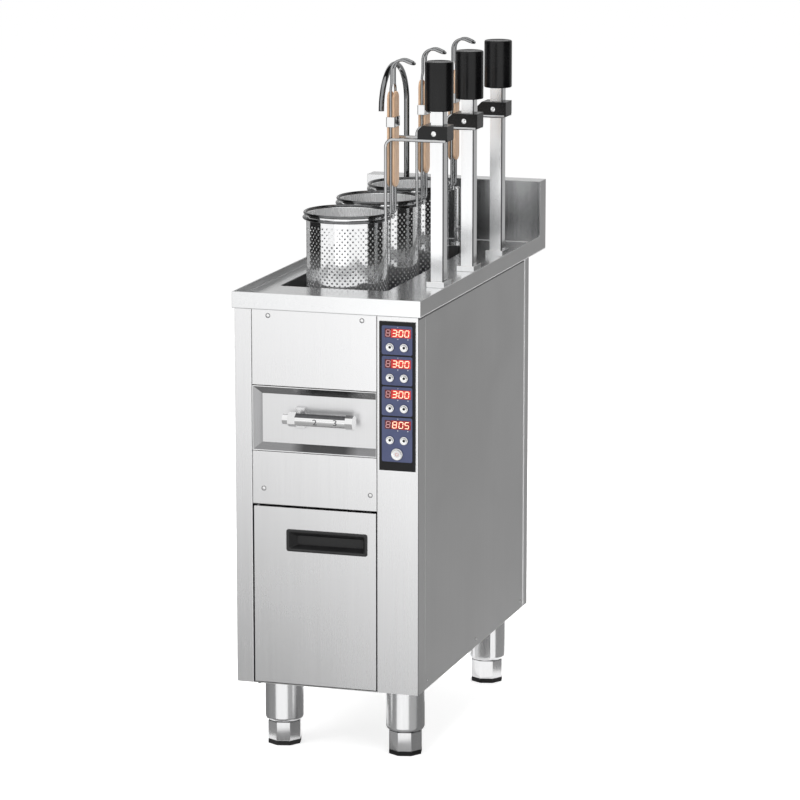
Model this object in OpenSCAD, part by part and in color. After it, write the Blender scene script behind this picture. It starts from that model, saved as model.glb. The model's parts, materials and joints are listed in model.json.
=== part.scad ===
// Floor-standing pasta cooker with three baskets that lift themselves out of the water.
// Millimetres, +Z up, the front faces -Y. The origin is on the floor, under the middle of the
// outline. Places along the depth are given as distances behind the worktop's front edge.

/* [Worktop] */
// Height of the worktop's rim above the floor
top_h = 800; // [760:5:900]
// Depth of the apron that hangs around the worktop
apron_h = 28; // [22:1:40]
// Height of the raised rim above the deck
rim_h = 12; // [6:1:16]
// Thickness of the folded rim and apron
rim_t = 3; // [2:0.5:3.5]
// Height of the backsplash above the rim
splash_h = 100; // [60:5:160]
// Thickness of the folded backsplash box
splash_t = 38; // [25:1:60]
// Deck between the front edge and the tank
front_deck = 145; // [120:1:200]
// Deck between the tank and the backsplash
rear_deck = 75; // [62:1:120]
// Deck between the left edge and the tank
left_deck = 34; // [26:1:60]
// Deck between the tank and the right edge, where the posts stand
lift_deck = 104; // [98:1:140]
// Thickness of the pressed deck and tank sheet
deck_t = 1.5; // [1:0.1:2]
// Thickness of the cabinet's sheet steel
sheet_t = 1.2; // [0.8:0.1:1.6]

/* [Tank] */
// Depth of the tank below the deck
tank_depth = 168; // [150:2:220]
// Radius of the tank's upright corners
tank_corner_r = 10; // [6:1:30]
// Space between a basket and the tank's front or rear wall
tank_end_gap = 8; // [7:0.5:30]
// Space between a basket and the tank's side walls
tank_side_gap = 26; // [20:1:40]
// Width of the flange that hangs the tank under the deck
tank_flange_w = 10; // [6:1:12]
// Diameter of a heating rod
heater_dia = 9; // [7:0.5:11]
// Height of the heating rods above the tank floor
heater_up = 18; // [12:1:24]
// Space between neighbouring heating loops
heater_gap = 8; // [6:0.5:14]
// Distance from the tank's front wall to the loops' bends
heater_front = 43; // [36:1:120]
// Thickness of the plates that hold the loops
heater_plate_t = 4; // [3:0.5:8]
// Height of the plates that hold the loops
heater_plate_h = 18; // [14:1:22]

/* [Baskets] */
// Outer radius of a basket's body
cup_r = 70; // [60:1:80]
// Height of a basket's body
cup_h = 200; // [170:1:225]
// Wall of a basket's body
cup_t = 1; // [0.8:0.1:1.5]
// Radius of the round lower edge of a basket
cup_edge_r = 8; // [4:1:15]
// Distance between neighbouring baskets
basket_pitch = 178; // [170:1:200]
// Height of a basket's rim ring above the worktop's rim
ring_up = 108; // [106:1:112]
// Diameter of the rings' wire
ring_wire = 4; // [3.5:0.25:4.5]
// Height of a basket's rolled lip
lip_t = 4; // [3:0.1:5]
// Room between a basket's body and the ring that carries it
ring_room = 2; // [1.6:0.1:3]
// Room between a basket's rim ring and the bracket's wires
rim_room = 0.8; // [0.6:0.1:1.2]

/* [Basket handle] */
// Diameter of a handle's wire
handle_wire = 4.5; // [4:0.25:5]
// Spacing of a handle's two wires
handle_span = 26; // [24:0.5:26.5]
// Height from the rim ring to the lower end of the wooden grip
grip_up = 47; // [30:1:60]
// Length of the wooden grip
grip_l = 163; // [130:1:170]
// Thickness of one wooden scale
grip_t = 4.6; // [3.5:0.1:5]
// Height from the rim ring to the clip round the grip
clip_up = 150; // [110:1:180]
// Height of the clip
clip_h = 17; // [12:1:22]
// Thickness of the clip's steel
clip_t = 1; // [0.8:0.1:1.2]
// Straight wire between the grip and the hook's bend
hook_neck = 35.5; // [30:0.5:40]
// How far each wire steps in above the grip
hook_step = 4; // [2:0.5:6]
// Bend radius at the top of the hook
hook_bend_r = 18; // [16:1:22]
// Angle that the hook turns through
hook_turn = 112; // [105:1:125]
// Straight length of the hook beyond its bend
hook_l = 5; // [2:0.5:8]
// How far a handle stands out from its rim ring
handle_out = 9.5; // [9:0.25:11]
// Bend radius at the foot of a handle's wires
handle_bend_r = 6; // [5:0.5:7]

/* [Lifts] */
// Width of the square lift post
post_w = 22; // [18:1:24]
// Wall of the lift post
post_t = 1.5; // [1.2:0.1:2.5]
// Distance from the posts' axes to the worktop's right edge
post_inset = 36.5; // [34:0.5:40]
// Length of post below the deck
post_below = 128; // [110:2:150]
// Room around a post where it slides through a collar
post_room = 0.5; // [0.3:0.1:0.8]
// Travel of the lifts, upwards
lift_travel = 80; // [60:5:90]
// Width of a post collar
collar_w = 32; // [28:1:36]
// Depth of a post collar
collar_d = 42; // [34:1:48]
// Height of a post collar
collar_h = 10; // [6:1:14]
// Height of the clamps above the worktop's rim
clamp_up = 237; // [234:1:260]
// Height of a clamp block
clamp_h = 26; // [20:1:32]
// Depth of a clamp block
clamp_d = 38; // [34:1:40]
// Reach of a clamp block to the left of its post's axis
clamp_left = 32.5; // [26:0.5:38]
// Reach of a clamp block to the right of its post's axis
clamp_right = 20; // [16:0.5:24]
// Cut corner at a clamp's top left
clamp_chamfer = 8; // [4:1:12]
// Radius of a clamp screw's head
clamp_screw_r = 4.8; // [3:0.2:6]
// Diameter of a bracket's wires
bracket_wire = 5.4; // [4.5:0.1:5.4]
// Spacing of a bracket's two wires
bracket_span = 41; // [40:0.5:44]
// Bend radius of a bracket's wires
bracket_bend_r = 13; // [8:1:16]
// Post that shows between clamp and cap
cap_gap = 25; // [10:1:40]
// Diameter of a post cap
cap_dia = 49; // [40:1:54]
// Height of a post cap
cap_h = 83; // [60:1:100]
// Rounding of a post cap's edges
cap_edge_r = 2; // [1:0.5:4]
// Radius of an actuator's push rod
rod_r = 7; // [5:0.5:9]
// Length of push rod that is still in its tube at the top of the travel
rod_lap = 220; // [180:5:240]
// Radius of an actuator's tube
actuator_r = 19; // [15:1:20]
// Thickness of an actuator's foot plate
actuator_plate_t = 6; // [4:0.5:10]
// Radial clearance of a turning or sliding shaft
shaft_clear = 0.06; // [0.02:0.01:0.1]

/* [Cabinet] */
// Height of the cabinet's underside above the floor
cab_z = 128; // [110:2:160]
// Set-back of the cabinet's sides from the worktop's sides
cab_inset = 4; // [4:0.5:10]
// Set-back of the cabinet's front from the worktop's front
cab_front = 2; // [1:0.5:6]
// Overhang of the worktop behind the cabinet
rear_overhang = 98; // [90:2:120]
// Width of the stile at the left of the front
stile_w = 29.5; // [20:0.5:45]
// Width of the control column at the right of the front
column_w = 72; // [66:1:90]
// Depth of the side folds of stile and column
fold_d = 40; // [30:1:60]
// Depth of the inner folds of stile and column
inner_fold_d = 28; // [24:1:40]
// Depth of the side folds of the back panel
rear_fold_d = 30; // [20:1:50]
// Gap between neighbouring sheets
sheet_gap = 0.8; // [0.5:0.1:1.5]
// Height of the upper front panel
upper_h = 129; // [110:1:150]
// Height of the recess for the drain lever
recess_h = 112; // [100:1:130]
// Depth of the recess
recess_d = 9; // [7:0.5:14]
// Height of the slanted walls at the recess's top and bottom
recess_slope = 14; // [10:0.5:18]
// Width of the slanted wall at the recess's left
recess_left_slope = 16; // [10:0.5:20]
// Height of the lower front panel
lower_h = 91; // [70:1:110]
// Distance from the upper panel's left edge to its screw
upper_screw_left = 29; // [10:1:40]
// Distance from the upper panel's right edge to its screw
upper_screw_right = 25; // [10:1:40]
// Distance from the apron to the upper screws
upper_screw_drop = 10; // [6:1:20]
// Distance from the lower panel's left edge to its screw
lower_screw_left = 20; // [10:1:40]
// Distance from the lower panel's right edge to its screw
lower_screw_right = 11; // [8:1:40]
// Height of the lower screws above the lower panel's edge
lower_screw_up = 27; // [10:1:40]
// Distance of the side screws from the ends of the side panels
side_screw_end = 12; // [8:1:30]
// Height of the side screws above the cabinet's underside
side_screw_up = 14; // [8:1:30]
// Radius of the screw heads on the front
screw_r = 3; // [2:0.25:4]
// Radius of the screw heads on the sides
side_screw_r = 2.4; // [1.5:0.1:3]
// Height of a screw head
screw_h = 1.4; // [0.8:0.1:1.6]

/* [Door] */
// Gap above the door
door_top_gap = 4; // [2.5:0.5:6]
// Gap below the door
door_bottom_gap = 1.5; // [1:0.25:3]
// Gap at the door's hinge side
door_hinge_gap = 3; // [2.8:0.1:5]
// Gap at the door's free side
door_side_gap = 2; // [1.5:0.25:4]
// Thickness of the folded door
door_t = 20; // [18:1:21]
// Distance of the hinge pin from the door's front and left faces
pin_inset = 6; // [5.5:0.25:6]
// Radius of the hinge pins
pin_r = 3; // [2:0.25:3.5]
// Length of the door pull
pull_w = 143; // [100:1:150]
// Height of the door pull
pull_h = 38; // [30:1:50]
// Depth of the door pull's pocket
pull_d = 16; // [10:0.5:16]
// How far the door pull's rim stands proud of the door
pull_proud = 2; // [1:0.5:3]
// Width of the door pull's rim
pull_rim = 5; // [3:0.5:7]
// Corner radius of the door pull
pull_corner_r = 4; // [2:0.5:6]
// Distance from the door's top edge to the pull
pull_drop = 36.5; // [20:0.5:60]
// Distance from the door's free edge to the pull
pull_side = 15; // [8:1:30]

/* [Control panel] */
// Height of one timer's face
timer_h = 48.7; // [44:0.1:52]
// Height of the main control's face
main_h = 75.3; // [70:0.1:80]
// Gap between the faces
timer_gap = 2.7; // [1.5:0.1:4]
// Black border beside the faces
bezel_side = 4.7; // [3:0.1:6]
// Black border above the faces
bezel_top = 6.7; // [4:0.1:10]
// Black border below the faces
bezel_bottom = 15.3; // [6:0.1:20]
// Distance from the apron to the control panel
bezel_drop = 8.3; // [4:0.1:14]
// Distance from the column's edges to the control panel
bezel_inset = 4.8; // [3:0.1:7]
// Thickness of the control panel
bezel_t = 2.5; // [2:0.1:4]
// Thickness of a face
face_t = 0.6; // [0.4:0.1:1]
// Corner radius of a face
face_corner_r = 3; // [1:0.5:5]
// Spacing of a timer's two buttons
button_span = 24.4; // [20:0.2:28]
// Distance from a timer's top to its buttons
button_drop = 36.2; // [30:0.1:38]
// Distance from the main face's top to its buttons
main_button_drop = 38.6; // [34:0.1:40]
// Distance from the main face's top to the power button
power_drop = 62; // [60:0.1:63]
// Radius of a timer button
button_r = 7; // [5:0.25:8]
// Radius of the power button
power_r = 10; // [8:0.25:10.5]
// How far a button stands proud of its face
button_proud = 2.4; // [1.6:0.1:4]
// Travel of a button
button_travel = 1.2; // [0.6:0.1:1.5]
// Room around a button in its hole
button_room = 0.35; // [0.25:0.05:0.5]
// Width of the flange that keeps a button in its hole
button_flange = 1.5; // [1:0.1:2]
// Depth of the control box behind the buttons
box_d = 56; // [40:1:80]

/* [Drain] */
// Distance from the recess's left edge to the lever's pivot
lever_side = 85.5; // [70:0.5:110]
// Height of the lever above the middle of the recess
lever_up = 4.5; // [-6:0.5:8]
// Radius of the lever's bar
bar_r = 10.5; // [7:0.5:11]
// Radius of the hexagon nut and the end block on the lever
nut_r = 12.5; // [11.5:0.5:13]
// Room between the lever and the front panels
lever_room = 2; // [1:0.25:4]
// Length of the bar to the right of the pivot
bar_right = 86; // [60:1:95]
// Length of the bar's end block
bar_end = 13; // [8:1:16]
// Distance of the hexagon nut from the pivot
nut_off = 2; // [1:0.5:4]
// Length of the hexagon nut
nut_l = 13; // [8:1:15]
// Length of the stub beyond the nut
stub_l = 10; // [6:1:12]
// Radius of the stub
stub_r = 9; // [6:0.5:10]
// Radius of the lever's stem
stem_r = 6; // [4:0.5:7]
// Width of the stem's block in the recess
stem_block_w = 16; // [16:1:24]
// Height of the stem's block in the recess
stem_block_h = 36; // [26:1:40]
// Radius of the drain pipe
pipe_r = 14; // [10:0.5:16]
// Bore of the drain pipe's outlet
pipe_bore_r = 11; // [6:0.5:11]
// Height of the drain pipe's run to the rear, above the cabinet's underside
pipe_up = 42; // [30:1:60]
// Length of pipe behind the cabinet
pipe_out = 30; // [20:1:40]
// Width of the ball valve's body
valve_w = 40; // [34:1:50]
// Distance of the valve's middle behind the front edge
valve_back = 55; // [50:1:70]
// Distance of the tank's drain behind its front wall
drain_back = 48; // [36:1:80]

/* [Spout and probe] */
// Radius of the filling spout's tube
spout_r = 5; // [4:0.5:7]
// Bore of the filling spout's tube
spout_bore_r = 4; // [2:0.25:3.75]
// Radius of the spout's arch
spout_arch_r = 75; // [60:1:80]
// Height of the arch's feet above the rim
spout_up = 243; // [230:1:260]
// Straight outlet below the arch
spout_tip = 0.5; // [0.5:0.5:6]
// Distance from the worktop's left edge to the spout
spout_side = 91; // [60:1:120]
// Distance from the tank to the spout
spout_back = 28; // [20:1:46]
// Radius of the spout's base flange
spout_flange_r = 15; // [12:0.5:18]
// Height of the spout's base
spout_base_h = 36; // [24:1:50]
// Distance from the worktop's left edge to the level probe
probe_side = 187; // [150:1:220]
// Radius of the level probe's stem
probe_r = 6; // [4:0.5:8]
// Height of the level probe above the deck
probe_h = 104; // [60:1:110]

/* [Feet and ports] */
// Radius of a leg's tube
leg_r = 33; // [28:1:36]
// Rounding of a leg's lower edge
leg_edge_r = 8; // [4:0.5:12]
// Distance of the legs from the cabinet's sides
leg_side = 52; // [46:1:70]
// Distance of the front legs from the cabinet's front
leg_front = 95; // [60:1:120]
// Distance of the rear legs from the cabinet's rear
leg_rear = 80; // [50:1:120]
// Distance across the flats of a foot
foot_flats = 55; // [44:1:58]
// Height of a foot
foot_h = 41; // [34:1:48]
// Height of a foot's rubber pad
pad_h = 8; // [5:0.5:10]
// Radius of a foot's screw
foot_screw_r = 8; // [6:0.5:10]
// How far a foot screws out
foot_travel = 25; // [10:1:30]
// Length of screw that stays in the leg
foot_screw_grip = 35; // [25:1:45]
// Radius of the water inlet's thread
inlet_r = 10.5; // [8:0.25:13]
// Bore of the water inlet
inlet_bore_r = 7.5; // [4:0.25:7.75]
// Distance of the water inlet from the cabinet's right side
inlet_side = 100; // [80:1:130]
// Distance of the cable gland from the cabinet's right side
gland_side = 50; // [30:1:60]
// Radius of the cable gland's body
gland_r = 12; // [10:0.5:14]
// Bore of the cable gland
gland_bore_r = 6.5; // [4:0.25:8]
// Length that the ports stand out behind the cabinet
port_out = 28; // [18:1:36]
// Height of the ports above the cabinet's underside
port_up = 72; // [60:1:120]

/* [Hidden] */
$fn = 48;
eps = 0.5;        // overshoot of a cut
touch = 0.05;     // gap between round faces that meet in one body
seat = 0.3;       // gap between faces that move apart
weld = 0.7;       // depth that welded wires share
lifts = [0, 1, 2];

tank_w = 2 * (cup_r + tank_side_gap);
tank_l = 2 * (cup_r + tank_end_gap) + 2 * basket_pitch;
top_w = left_deck + tank_w + lift_deck;
top_d = front_deck + tank_l + rear_deck + splash_t;
left_x = -top_w / 2;
right_x = top_w / 2;
deck_z = top_h - rim_h;
apron_z = top_h - apron_h;
deck_under = deck_z - deck_t;

lever_d = cab_front - lever_room - nut_r;
lever_proud = max(0, nut_r - lever_d);
front_y = -(top_d + lever_proud) / 2 + lever_proud;
function fy(d) = front_y + d;

tank_x = left_x + left_deck + tank_w / 2;
tank_d0 = front_deck;
tank_d1 = front_deck + tank_l;
tank_floor = deck_z - tank_depth;
heater_plate_gap = 6;
heater_pitch = (tank_w - 2 * tank_corner_r - heater_plate_gap) / 3;
heater_span = heater_pitch - heater_gap - heater_dia;
basket_x = tank_x;
function basket_d(i) = tank_d0 + tank_end_gap + cup_r + i * basket_pitch;

ring_z = top_h + ring_up;
ring_wr = ring_wire / 2;
bracket_half = bracket_span / 2;
bracket_wr = bracket_wire / 2;
lip_z = ring_z - ring_wr - touch;
cup_z = lip_z - cup_h;
carry_r = cup_r + ring_room + ring_wr;
carry_z = lip_z - lip_t - seat - ring_wr;
upright_r = carry_r + ring_wr + bracket_wr - weld;
rim_ring_r = upright_r - bracket_wr - rim_room - ring_wr;
lip_r = carry_r;
handle_wr = handle_wire / 2;
handle_x = basket_x + rim_ring_r + handle_out;
handle_root = basket_x + sqrt(rim_ring_r * rim_ring_r - handle_span * handle_span / 4);
grip_z = ring_z + grip_up;
hook_z = grip_z + grip_l + hook_neck;
hook_half = handle_span / 2 - hook_step;
step_turn = 30;
step_l = 2;
step_r = (hook_step - step_l * sin(step_turn)) / 2 / (1 - cos(step_turn));
step_room = 2;
step_z = grip_z + grip_l + step_room;
grip_lap = 1;
step_h = 2 * step_r * sin(step_turn) + step_l * cos(step_turn);

post_x = right_x - post_inset;
post_z = deck_z - post_below;
clamp_z = top_h + clamp_up;
cap_z = clamp_z + clamp_h + cap_gap;
cap_wall = 8;
bracket_groove = 1;
bracket_z = clamp_z + bracket_groove;
bracket_short = 2;
clamp_screw_left = 4;
bracket_x = basket_x + sqrt(upright_r * upright_r - bracket_half * bracket_half);
rod_z = post_z - rod_lap - lift_travel;
actuator_room = 15;
actuator_plate_half = 1.5 * actuator_r;
actuator_z = post_z - actuator_room;
bore_z = rod_z - actuator_room;

cab_x = top_w / 2 - cab_inset;
cab_d0 = cab_front;
cab_d1 = top_d - rear_overhang;
base_z = cab_z + deck_t;
stile_x = -cab_x + stile_w;
column_x = cab_x - column_w;
panel_x0 = stile_x + sheet_gap;
panel_x1 = column_x - sheet_gap;
upper_z = apron_z - upper_h;
recess_z = upper_z - recess_h;
lower_z = recess_z - lower_h;
fold_end = cab_d0 + fold_d;
rear_fold_start = cab_d1 - rear_fold_d;
side_screw_d0 = fold_end + sheet_gap + side_screw_end;
side_screw_d1 = rear_fold_start - sheet_gap - side_screw_end;

door_x0 = stile_x + door_hinge_gap;
door_x1 = column_x - door_side_gap;
door_z0 = base_z + door_bottom_gap;
door_z1 = lower_z - door_top_gap;
hinge_x = door_x0 + pin_inset;
hinge_d = cab_d0 + pin_inset;
pin_past = 2;
pin_reach = deck_t + pin_past;
pin_block = 12;
pull_wall = 1.6;
pocket_w = pull_w - 2 * pull_rim;
pocket_h = pull_h - 2 * pull_rim;
pull_x = door_x1 - pull_side - pull_w / 2;
pull_z = door_z1 - pull_drop - pull_h / 2;

bezel_w = column_w - 2 * bezel_inset;
bezel_x = column_x + column_w / 2;
bezel_z1 = apron_z - bezel_drop;
faces_h = 3 * (timer_h + timer_gap) + main_h;
bezel_z0 = bezel_z1 - bezel_top - faces_h - bezel_bottom;
face_w = bezel_w - 2 * bezel_side;
bezel_d = cab_d0 - bezel_t;
face_d = bezel_d - face_t;
bezel_lap = 3;
button_stem = 5;
button_back = cab_d0 + button_stem;
button_flange_t = 1.2;
box_room = 2.8;
box_front = button_back + button_travel + box_room;
function face_z1(i) = bezel_z1 - bezel_top - i * (timer_h + timer_gap);
function button_z(i) = face_z1(i) - (i < 3 ? button_drop : main_button_drop);

lever_x = panel_x0 + lever_side;
lever_z = recess_z + recess_h / 2 + lever_up;
drain_d = tank_d0 + drain_back;
pipe_z = cab_z + pipe_up;
bonnet_r = 12;
stem_room = 2;
stem_l = 10;
stem_block_proud = 1;
outlet_step = 1;

spout_x = left_x + spout_side;
spout_d = tank_d1 + spout_back;
arch_z = top_h + spout_up;
spout_socket = 22;
spout_wall = 4.5;
spout_flange_t = 6;
spout_nut_h = 8;
probe_flange_t = 3;
probe_nut_up = 22;
probe_nut_h = 8;
probe_x = left_x + probe_side;

leg_x = cab_x - leg_side;
leg_d = [cab_d0 + leg_front, cab_d1 - leg_rear];
leg_z = foot_h + seat;
foot_places = [[-leg_x, leg_d[0]], [leg_x, leg_d[0]], [-leg_x, leg_d[1]], [leg_x, leg_d[1]]];
foot_turn = 14;
foot_sides = 8;
screw_end_room = 4;
foot_screw_l = foot_travel + foot_screw_grip;
inlet_x = cab_x - inlet_side;
gland_x = cab_x - gland_side;
port_in = 10;
port_flange_t = 4;
gland_wall = 2;
port_z = cab_z + port_up;

steel = "#c9cbcd";
bright = "#d9dbdd";
dark = "#1c1c1e";

// A box between limits in x, distance behind the front edge, and z
module block(x, d, z) {
  translate([x[0], fy(d[0]), z[0]])
    cube([x[1] - x[0], d[1] - d[0], z[1] - z[0]]);
}

// A rectangle with round corners, about its middle
module round_rect(w, h, r) {
  square([w - 2 * r, h], center = true);
  square([w, h - 2 * r], center = true);
  for (sx = [-1, 1], sy = [-1, 1])
    translate([sx * (w / 2 - r), sy * (h / 2 - r)])
      circle(r);
}

// An upright round bar
module bar_z(x, d, z, r) {
  translate([x, fy(d), z[0]])
    cylinder(h = z[1] - z[0], r = r);
}

// A round bar along the depth
module bar_d(x, d, z, r) {
  translate([x, fy(d[0]), z])
    rotate([-90, 0, 0])
      cylinder(h = d[1] - d[0], r = r);
}

// A round bar along the width
module bar_x(x, d, z, r, sides = $fn) {
  translate([x[0], fy(d), z])
    rotate([0, 90, 0])
      cylinder(h = x[1] - x[0], r = r, $fn = sides);
}

// A plate in the front plane with round corners, about (x, z)
module front_plate(x, z, w, h, r, d) {
  translate([x, fy(d[1]), z])
    rotate([90, 0, 0])
      linear_extrude(d[1] - d[0])
        round_rect(w, h, r);
}

// A ring of round wire about an upright axis
module wire_ring(x, d, z, r, wire_r) {
  translate([x, fy(d), z])
    rotate_extrude($fn = 96)
      translate([r, 0])
        circle(wire_r);
}

// A bend of round wire about the local Z axis, from angle 0
module wire_bend(r, turn, wire_r) {
  rotate_extrude(angle = turn)
    translate([r, 0])
      circle(wire_r);
}

// A solid of revolution with a round lower edge
module round_foot_post(r, h, edge_r) {
  rotate_extrude() {
    translate([0, edge_r])
      square([r, h - edge_r]);
    square([r - edge_r, edge_r]);
    translate([r - edge_r, edge_r])
      intersection() {
        circle(edge_r);
        translate([0, -edge_r])
          square(edge_r);
      }
  }
}

module tank_outline(grow = 0) {
  translate([tank_x, fy((tank_d0 + tank_d1) / 2)])
    round_rect(tank_w + 2 * grow, tank_l + 2 * grow, tank_corner_r + grow);
}

// Pressed top with raised rim, apron and box-folded backsplash
module worktop() {
  color(steel)
    difference() {
      union() {
        block([left_x, right_x], [0, top_d], [apron_z, top_h]);
        block([left_x, right_x], [top_d - splash_t, top_d], [apron_z, top_h + splash_h]);
      }
      block([left_x + rim_t, right_x - rim_t], [rim_t, top_d - splash_t], [deck_z, top_h + eps]);
      block([left_x + rim_t, right_x - rim_t], [rim_t, top_d - splash_t], [apron_z - eps, deck_under]);
      block([left_x + rim_t, right_x - rim_t], [top_d - splash_t + deck_t, top_d - deck_t],
        [apron_z - eps, top_h + splash_h - deck_t]);
      translate([0, 0, deck_under - eps])
        linear_extrude(deck_t + 2 * eps)
          tank_outline();
      for (i = lifts)
        block([post_x - post_w / 2 - rim_t, post_x + post_w / 2 + rim_t],
          [basket_d(i) - post_w / 2 - rim_t, basket_d(i) + post_w / 2 + rim_t],
          [deck_under - eps, deck_z + eps]);
    }
}

// Deep-drawn tank with a flange under the deck and a drain hole
module tank() {
  color(steel)
    difference() {
      union() {
        translate([0, 0, tank_floor - deck_t])
          linear_extrude(tank_depth)
            tank_outline(deck_t);
        translate([0, 0, deck_under - deck_t])
          linear_extrude(deck_t)
            tank_outline(tank_flange_w);
      }
      translate([0, 0, tank_floor])
        linear_extrude(tank_depth + eps)
          tank_outline();
      bar_z(lever_x, drain_d, [tank_floor - deck_t - eps, tank_floor + eps], pipe_bore_r);
    }
}

// A folded upright: front sheet, side fold at x_out and inner fold at x_in
module folded_upright(x_out, x_in, top_z) {
  side = x_out < x_in ? 1 : -1;
  block([min(x_out, x_in), max(x_out, x_in)], [cab_d0, cab_d0 + sheet_t], [cab_z, top_z]);
  block([min(x_out, x_out + side * sheet_t), max(x_out, x_out + side * sheet_t)],
    [cab_d0, fold_end], [cab_z, top_z]);
  block([min(x_in, x_in - side * sheet_t), max(x_in, x_in - side * sheet_t)],
    [cab_d0, cab_d0 + inner_fold_d], [base_z, top_z]);
}

module left_stile() {
  color(steel)
    folded_upright(-cab_x, stile_x, apron_z);
}

// Column that carries the control panel over a cut-out
module right_column() {
  color(steel)
    difference() {
      folded_upright(cab_x, column_x, apron_z);
      block([bezel_x - bezel_w / 2 + bezel_lap, bezel_x + bezel_w / 2 - bezel_lap],
        [cab_d0 - eps, cab_d0 + sheet_t + eps], [bezel_z0 + bezel_lap, bezel_z1 - bezel_lap]);
    }
}

module side_panels() {
  color("#8f9193")
    for (side = [-1, 1])
      block(side < 0 ? [-cab_x, -cab_x + sheet_t] : [cab_x - sheet_t, cab_x],
        [fold_end + sheet_gap, rear_fold_start - sheet_gap], [cab_z, deck_under]);
}

// Back sheet folded round both rear corners, with holes for the pipes
module back_panel() {
  color(steel)
    difference() {
      block([-cab_x, cab_x], [rear_fold_start, cab_d1], [cab_z, deck_under]);
      block([-cab_x + sheet_t, cab_x - sheet_t], [rear_fold_start - eps, cab_d1 - sheet_t],
        [cab_z - eps, deck_under + eps]);
      bar_d(lever_x, [cab_d1 - sheet_t - eps, cab_d1 + eps], pipe_z, pipe_r + sheet_t);
      bar_d(inlet_x, [cab_d1 - sheet_t - eps, cab_d1 + eps], port_z, inlet_r + seat);
      bar_d(gland_x, [cab_d1 - sheet_t - eps, cab_d1 + eps], port_z, gland_bore_r + gland_wall + seat);
    }
}

// Cabinet floor, with the socket of the door's lower hinge pin
module base_plate() {
  color(steel)
    difference() {
      block([-cab_x + sheet_t, cab_x - sheet_t], [cab_d0 + sheet_t, cab_d1 - sheet_t], [cab_z, base_z]);
      bar_z(hinge_x, hinge_d, [cab_z - eps, base_z + eps], pin_r + shaft_clear);
    }
}

module upper_panel() {
  color(bright)
    block([panel_x0, panel_x1], [cab_d0, cab_d0 + sheet_t], [upper_z + sheet_gap / 2, apron_z]);
}

// Pocket of the recess, grown by a wall
module recess_space(grow, front) {
  z0 = recess_z + sheet_gap / 2;
  z1 = upper_z - sheet_gap / 2;
  x1 = panel_x1 - sheet_t;
  intersection() {
    translate([panel_x0 - sheet_t, 0, 0])
      rotate([90, 0, 90])
        linear_extrude(panel_x1 - panel_x0 + 2 * sheet_t)
          polygon([
            [fy(cab_d0 - front), z0], [fy(cab_d0 - front), z1], [fy(cab_d0), z1],
            [fy(cab_d0 + recess_d) + grow, z1 - recess_slope + grow],
            [fy(cab_d0 + recess_d) + grow, z0 + recess_slope - grow], [fy(cab_d0), z0]
          ]);
    translate([0, 0, z0 - 1])
      linear_extrude(z1 - z0 + 2)
        polygon([
          [panel_x0, fy(cab_d0 - front)], [panel_x0, fy(cab_d0)],
          [panel_x0 + recess_left_slope - grow, fy(cab_d0 + recess_d) + grow],
          [x1 + grow, fy(cab_d0 + recess_d) + grow], [x1 + grow, fy(cab_d0 - front)]
        ]);
  }
}

// Recess with slanted walls above, below and at the left
module recess_pan() {
  color(bright)
    difference() {
      recess_space(sheet_t, 0);
      translate([0, -sheet_t, 0])
        recess_space(0, eps);
      bar_d(lever_x, [cab_d0, cab_d0 + recess_d + 2 * sheet_t], lever_z, stem_r + stem_room);
    }
}

// Lower front panel, with a ledge that holds the door's upper hinge pin
module lower_panel() {
  color(bright)
    difference() {
      union() {
        block([panel_x0, panel_x1], [cab_d0, cab_d0 + sheet_t], [lower_z, recess_z - sheet_gap / 2]);
        block([panel_x0, panel_x1], [cab_d0, cab_d0 + door_t], [lower_z, lower_z + deck_t]);
      }
      bar_z(hinge_x, hinge_d, [lower_z - eps, lower_z + deck_t + eps], pin_r + shaft_clear);
    }
}

module button_holes(grow, d) {
  for (i = [0 : 3], side = [-1, 1])
    bar_d(bezel_x + side * button_span / 2, d, button_z(i), button_r + grow);
  bar_d(bezel_x, d, face_z1(3) - power_drop, power_r + grow);
}

module control_bezel() {
  color(dark)
    difference() {
      block([bezel_x - bezel_w / 2, bezel_x + bezel_w / 2], [bezel_d, cab_d0], [bezel_z0, bezel_z1]);
      button_holes(button_room, [bezel_d - eps, cab_d0 + eps]);
    }
}

module timer_faces() {
  color("#565f8a")
    difference() {
      for (i = [0 : 3]) {
        h = i < 3 ? timer_h : main_h;
        front_plate(bezel_x, face_z1(i) - h / 2, face_w, h, face_corner_r, [face_d, bezel_d]);
      }
      button_holes(button_room, [face_d - eps, bezel_d + eps]);
    }
}

// Housing of the switch board and relays, behind the column
module control_box() {
  color("#9a9da0")
    block([column_x + sheet_t, cab_x - sheet_t], [box_front, box_front + box_d],
      [bezel_z0, bezel_z1]);
}

// Fixed leg tubes with a round lower edge and a threaded socket
module leg_tubes() {
  color("#e2e4e6")
    for (place = foot_places)
      translate([place[0], fy(place[1]), leg_z])
        difference() {
          round_foot_post(leg_r, cab_z - leg_z, leg_edge_r);
          translate([0, 0, -eps])
            cylinder(h = foot_screw_l + screw_end_room, r = foot_screw_r + shaft_clear);
        }
}

module screw_head(r) {
  intersection() {
    cylinder(h = screw_h, r = r);
    translate([0, 0, screw_h - 2 * r])
      sphere(2 * r);
  }
}

module panel_screws() {
  color("#b8babc")
    union() {
      for (x = [panel_x0 + upper_screw_left, panel_x1 - upper_screw_right])
        translate([x, fy(cab_d0), apron_z - upper_screw_drop])
          rotate([90, 0, 0])
            screw_head(screw_r);
      for (x = [panel_x0 + lower_screw_left, panel_x1 - lower_screw_right])
        translate([x, fy(cab_d0), lower_z + lower_screw_up])
          rotate([90, 0, 0])
            screw_head(screw_r);
      for (side = [-1, 1], d = [side_screw_d0, (side_screw_d0 + side_screw_d1) / 2, side_screw_d1])
        translate([side * cab_x, fy(d), cab_z + side_screw_up])
          rotate([0, side * 90, 0])
            screw_head(side_screw_r);
    }
}

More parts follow.
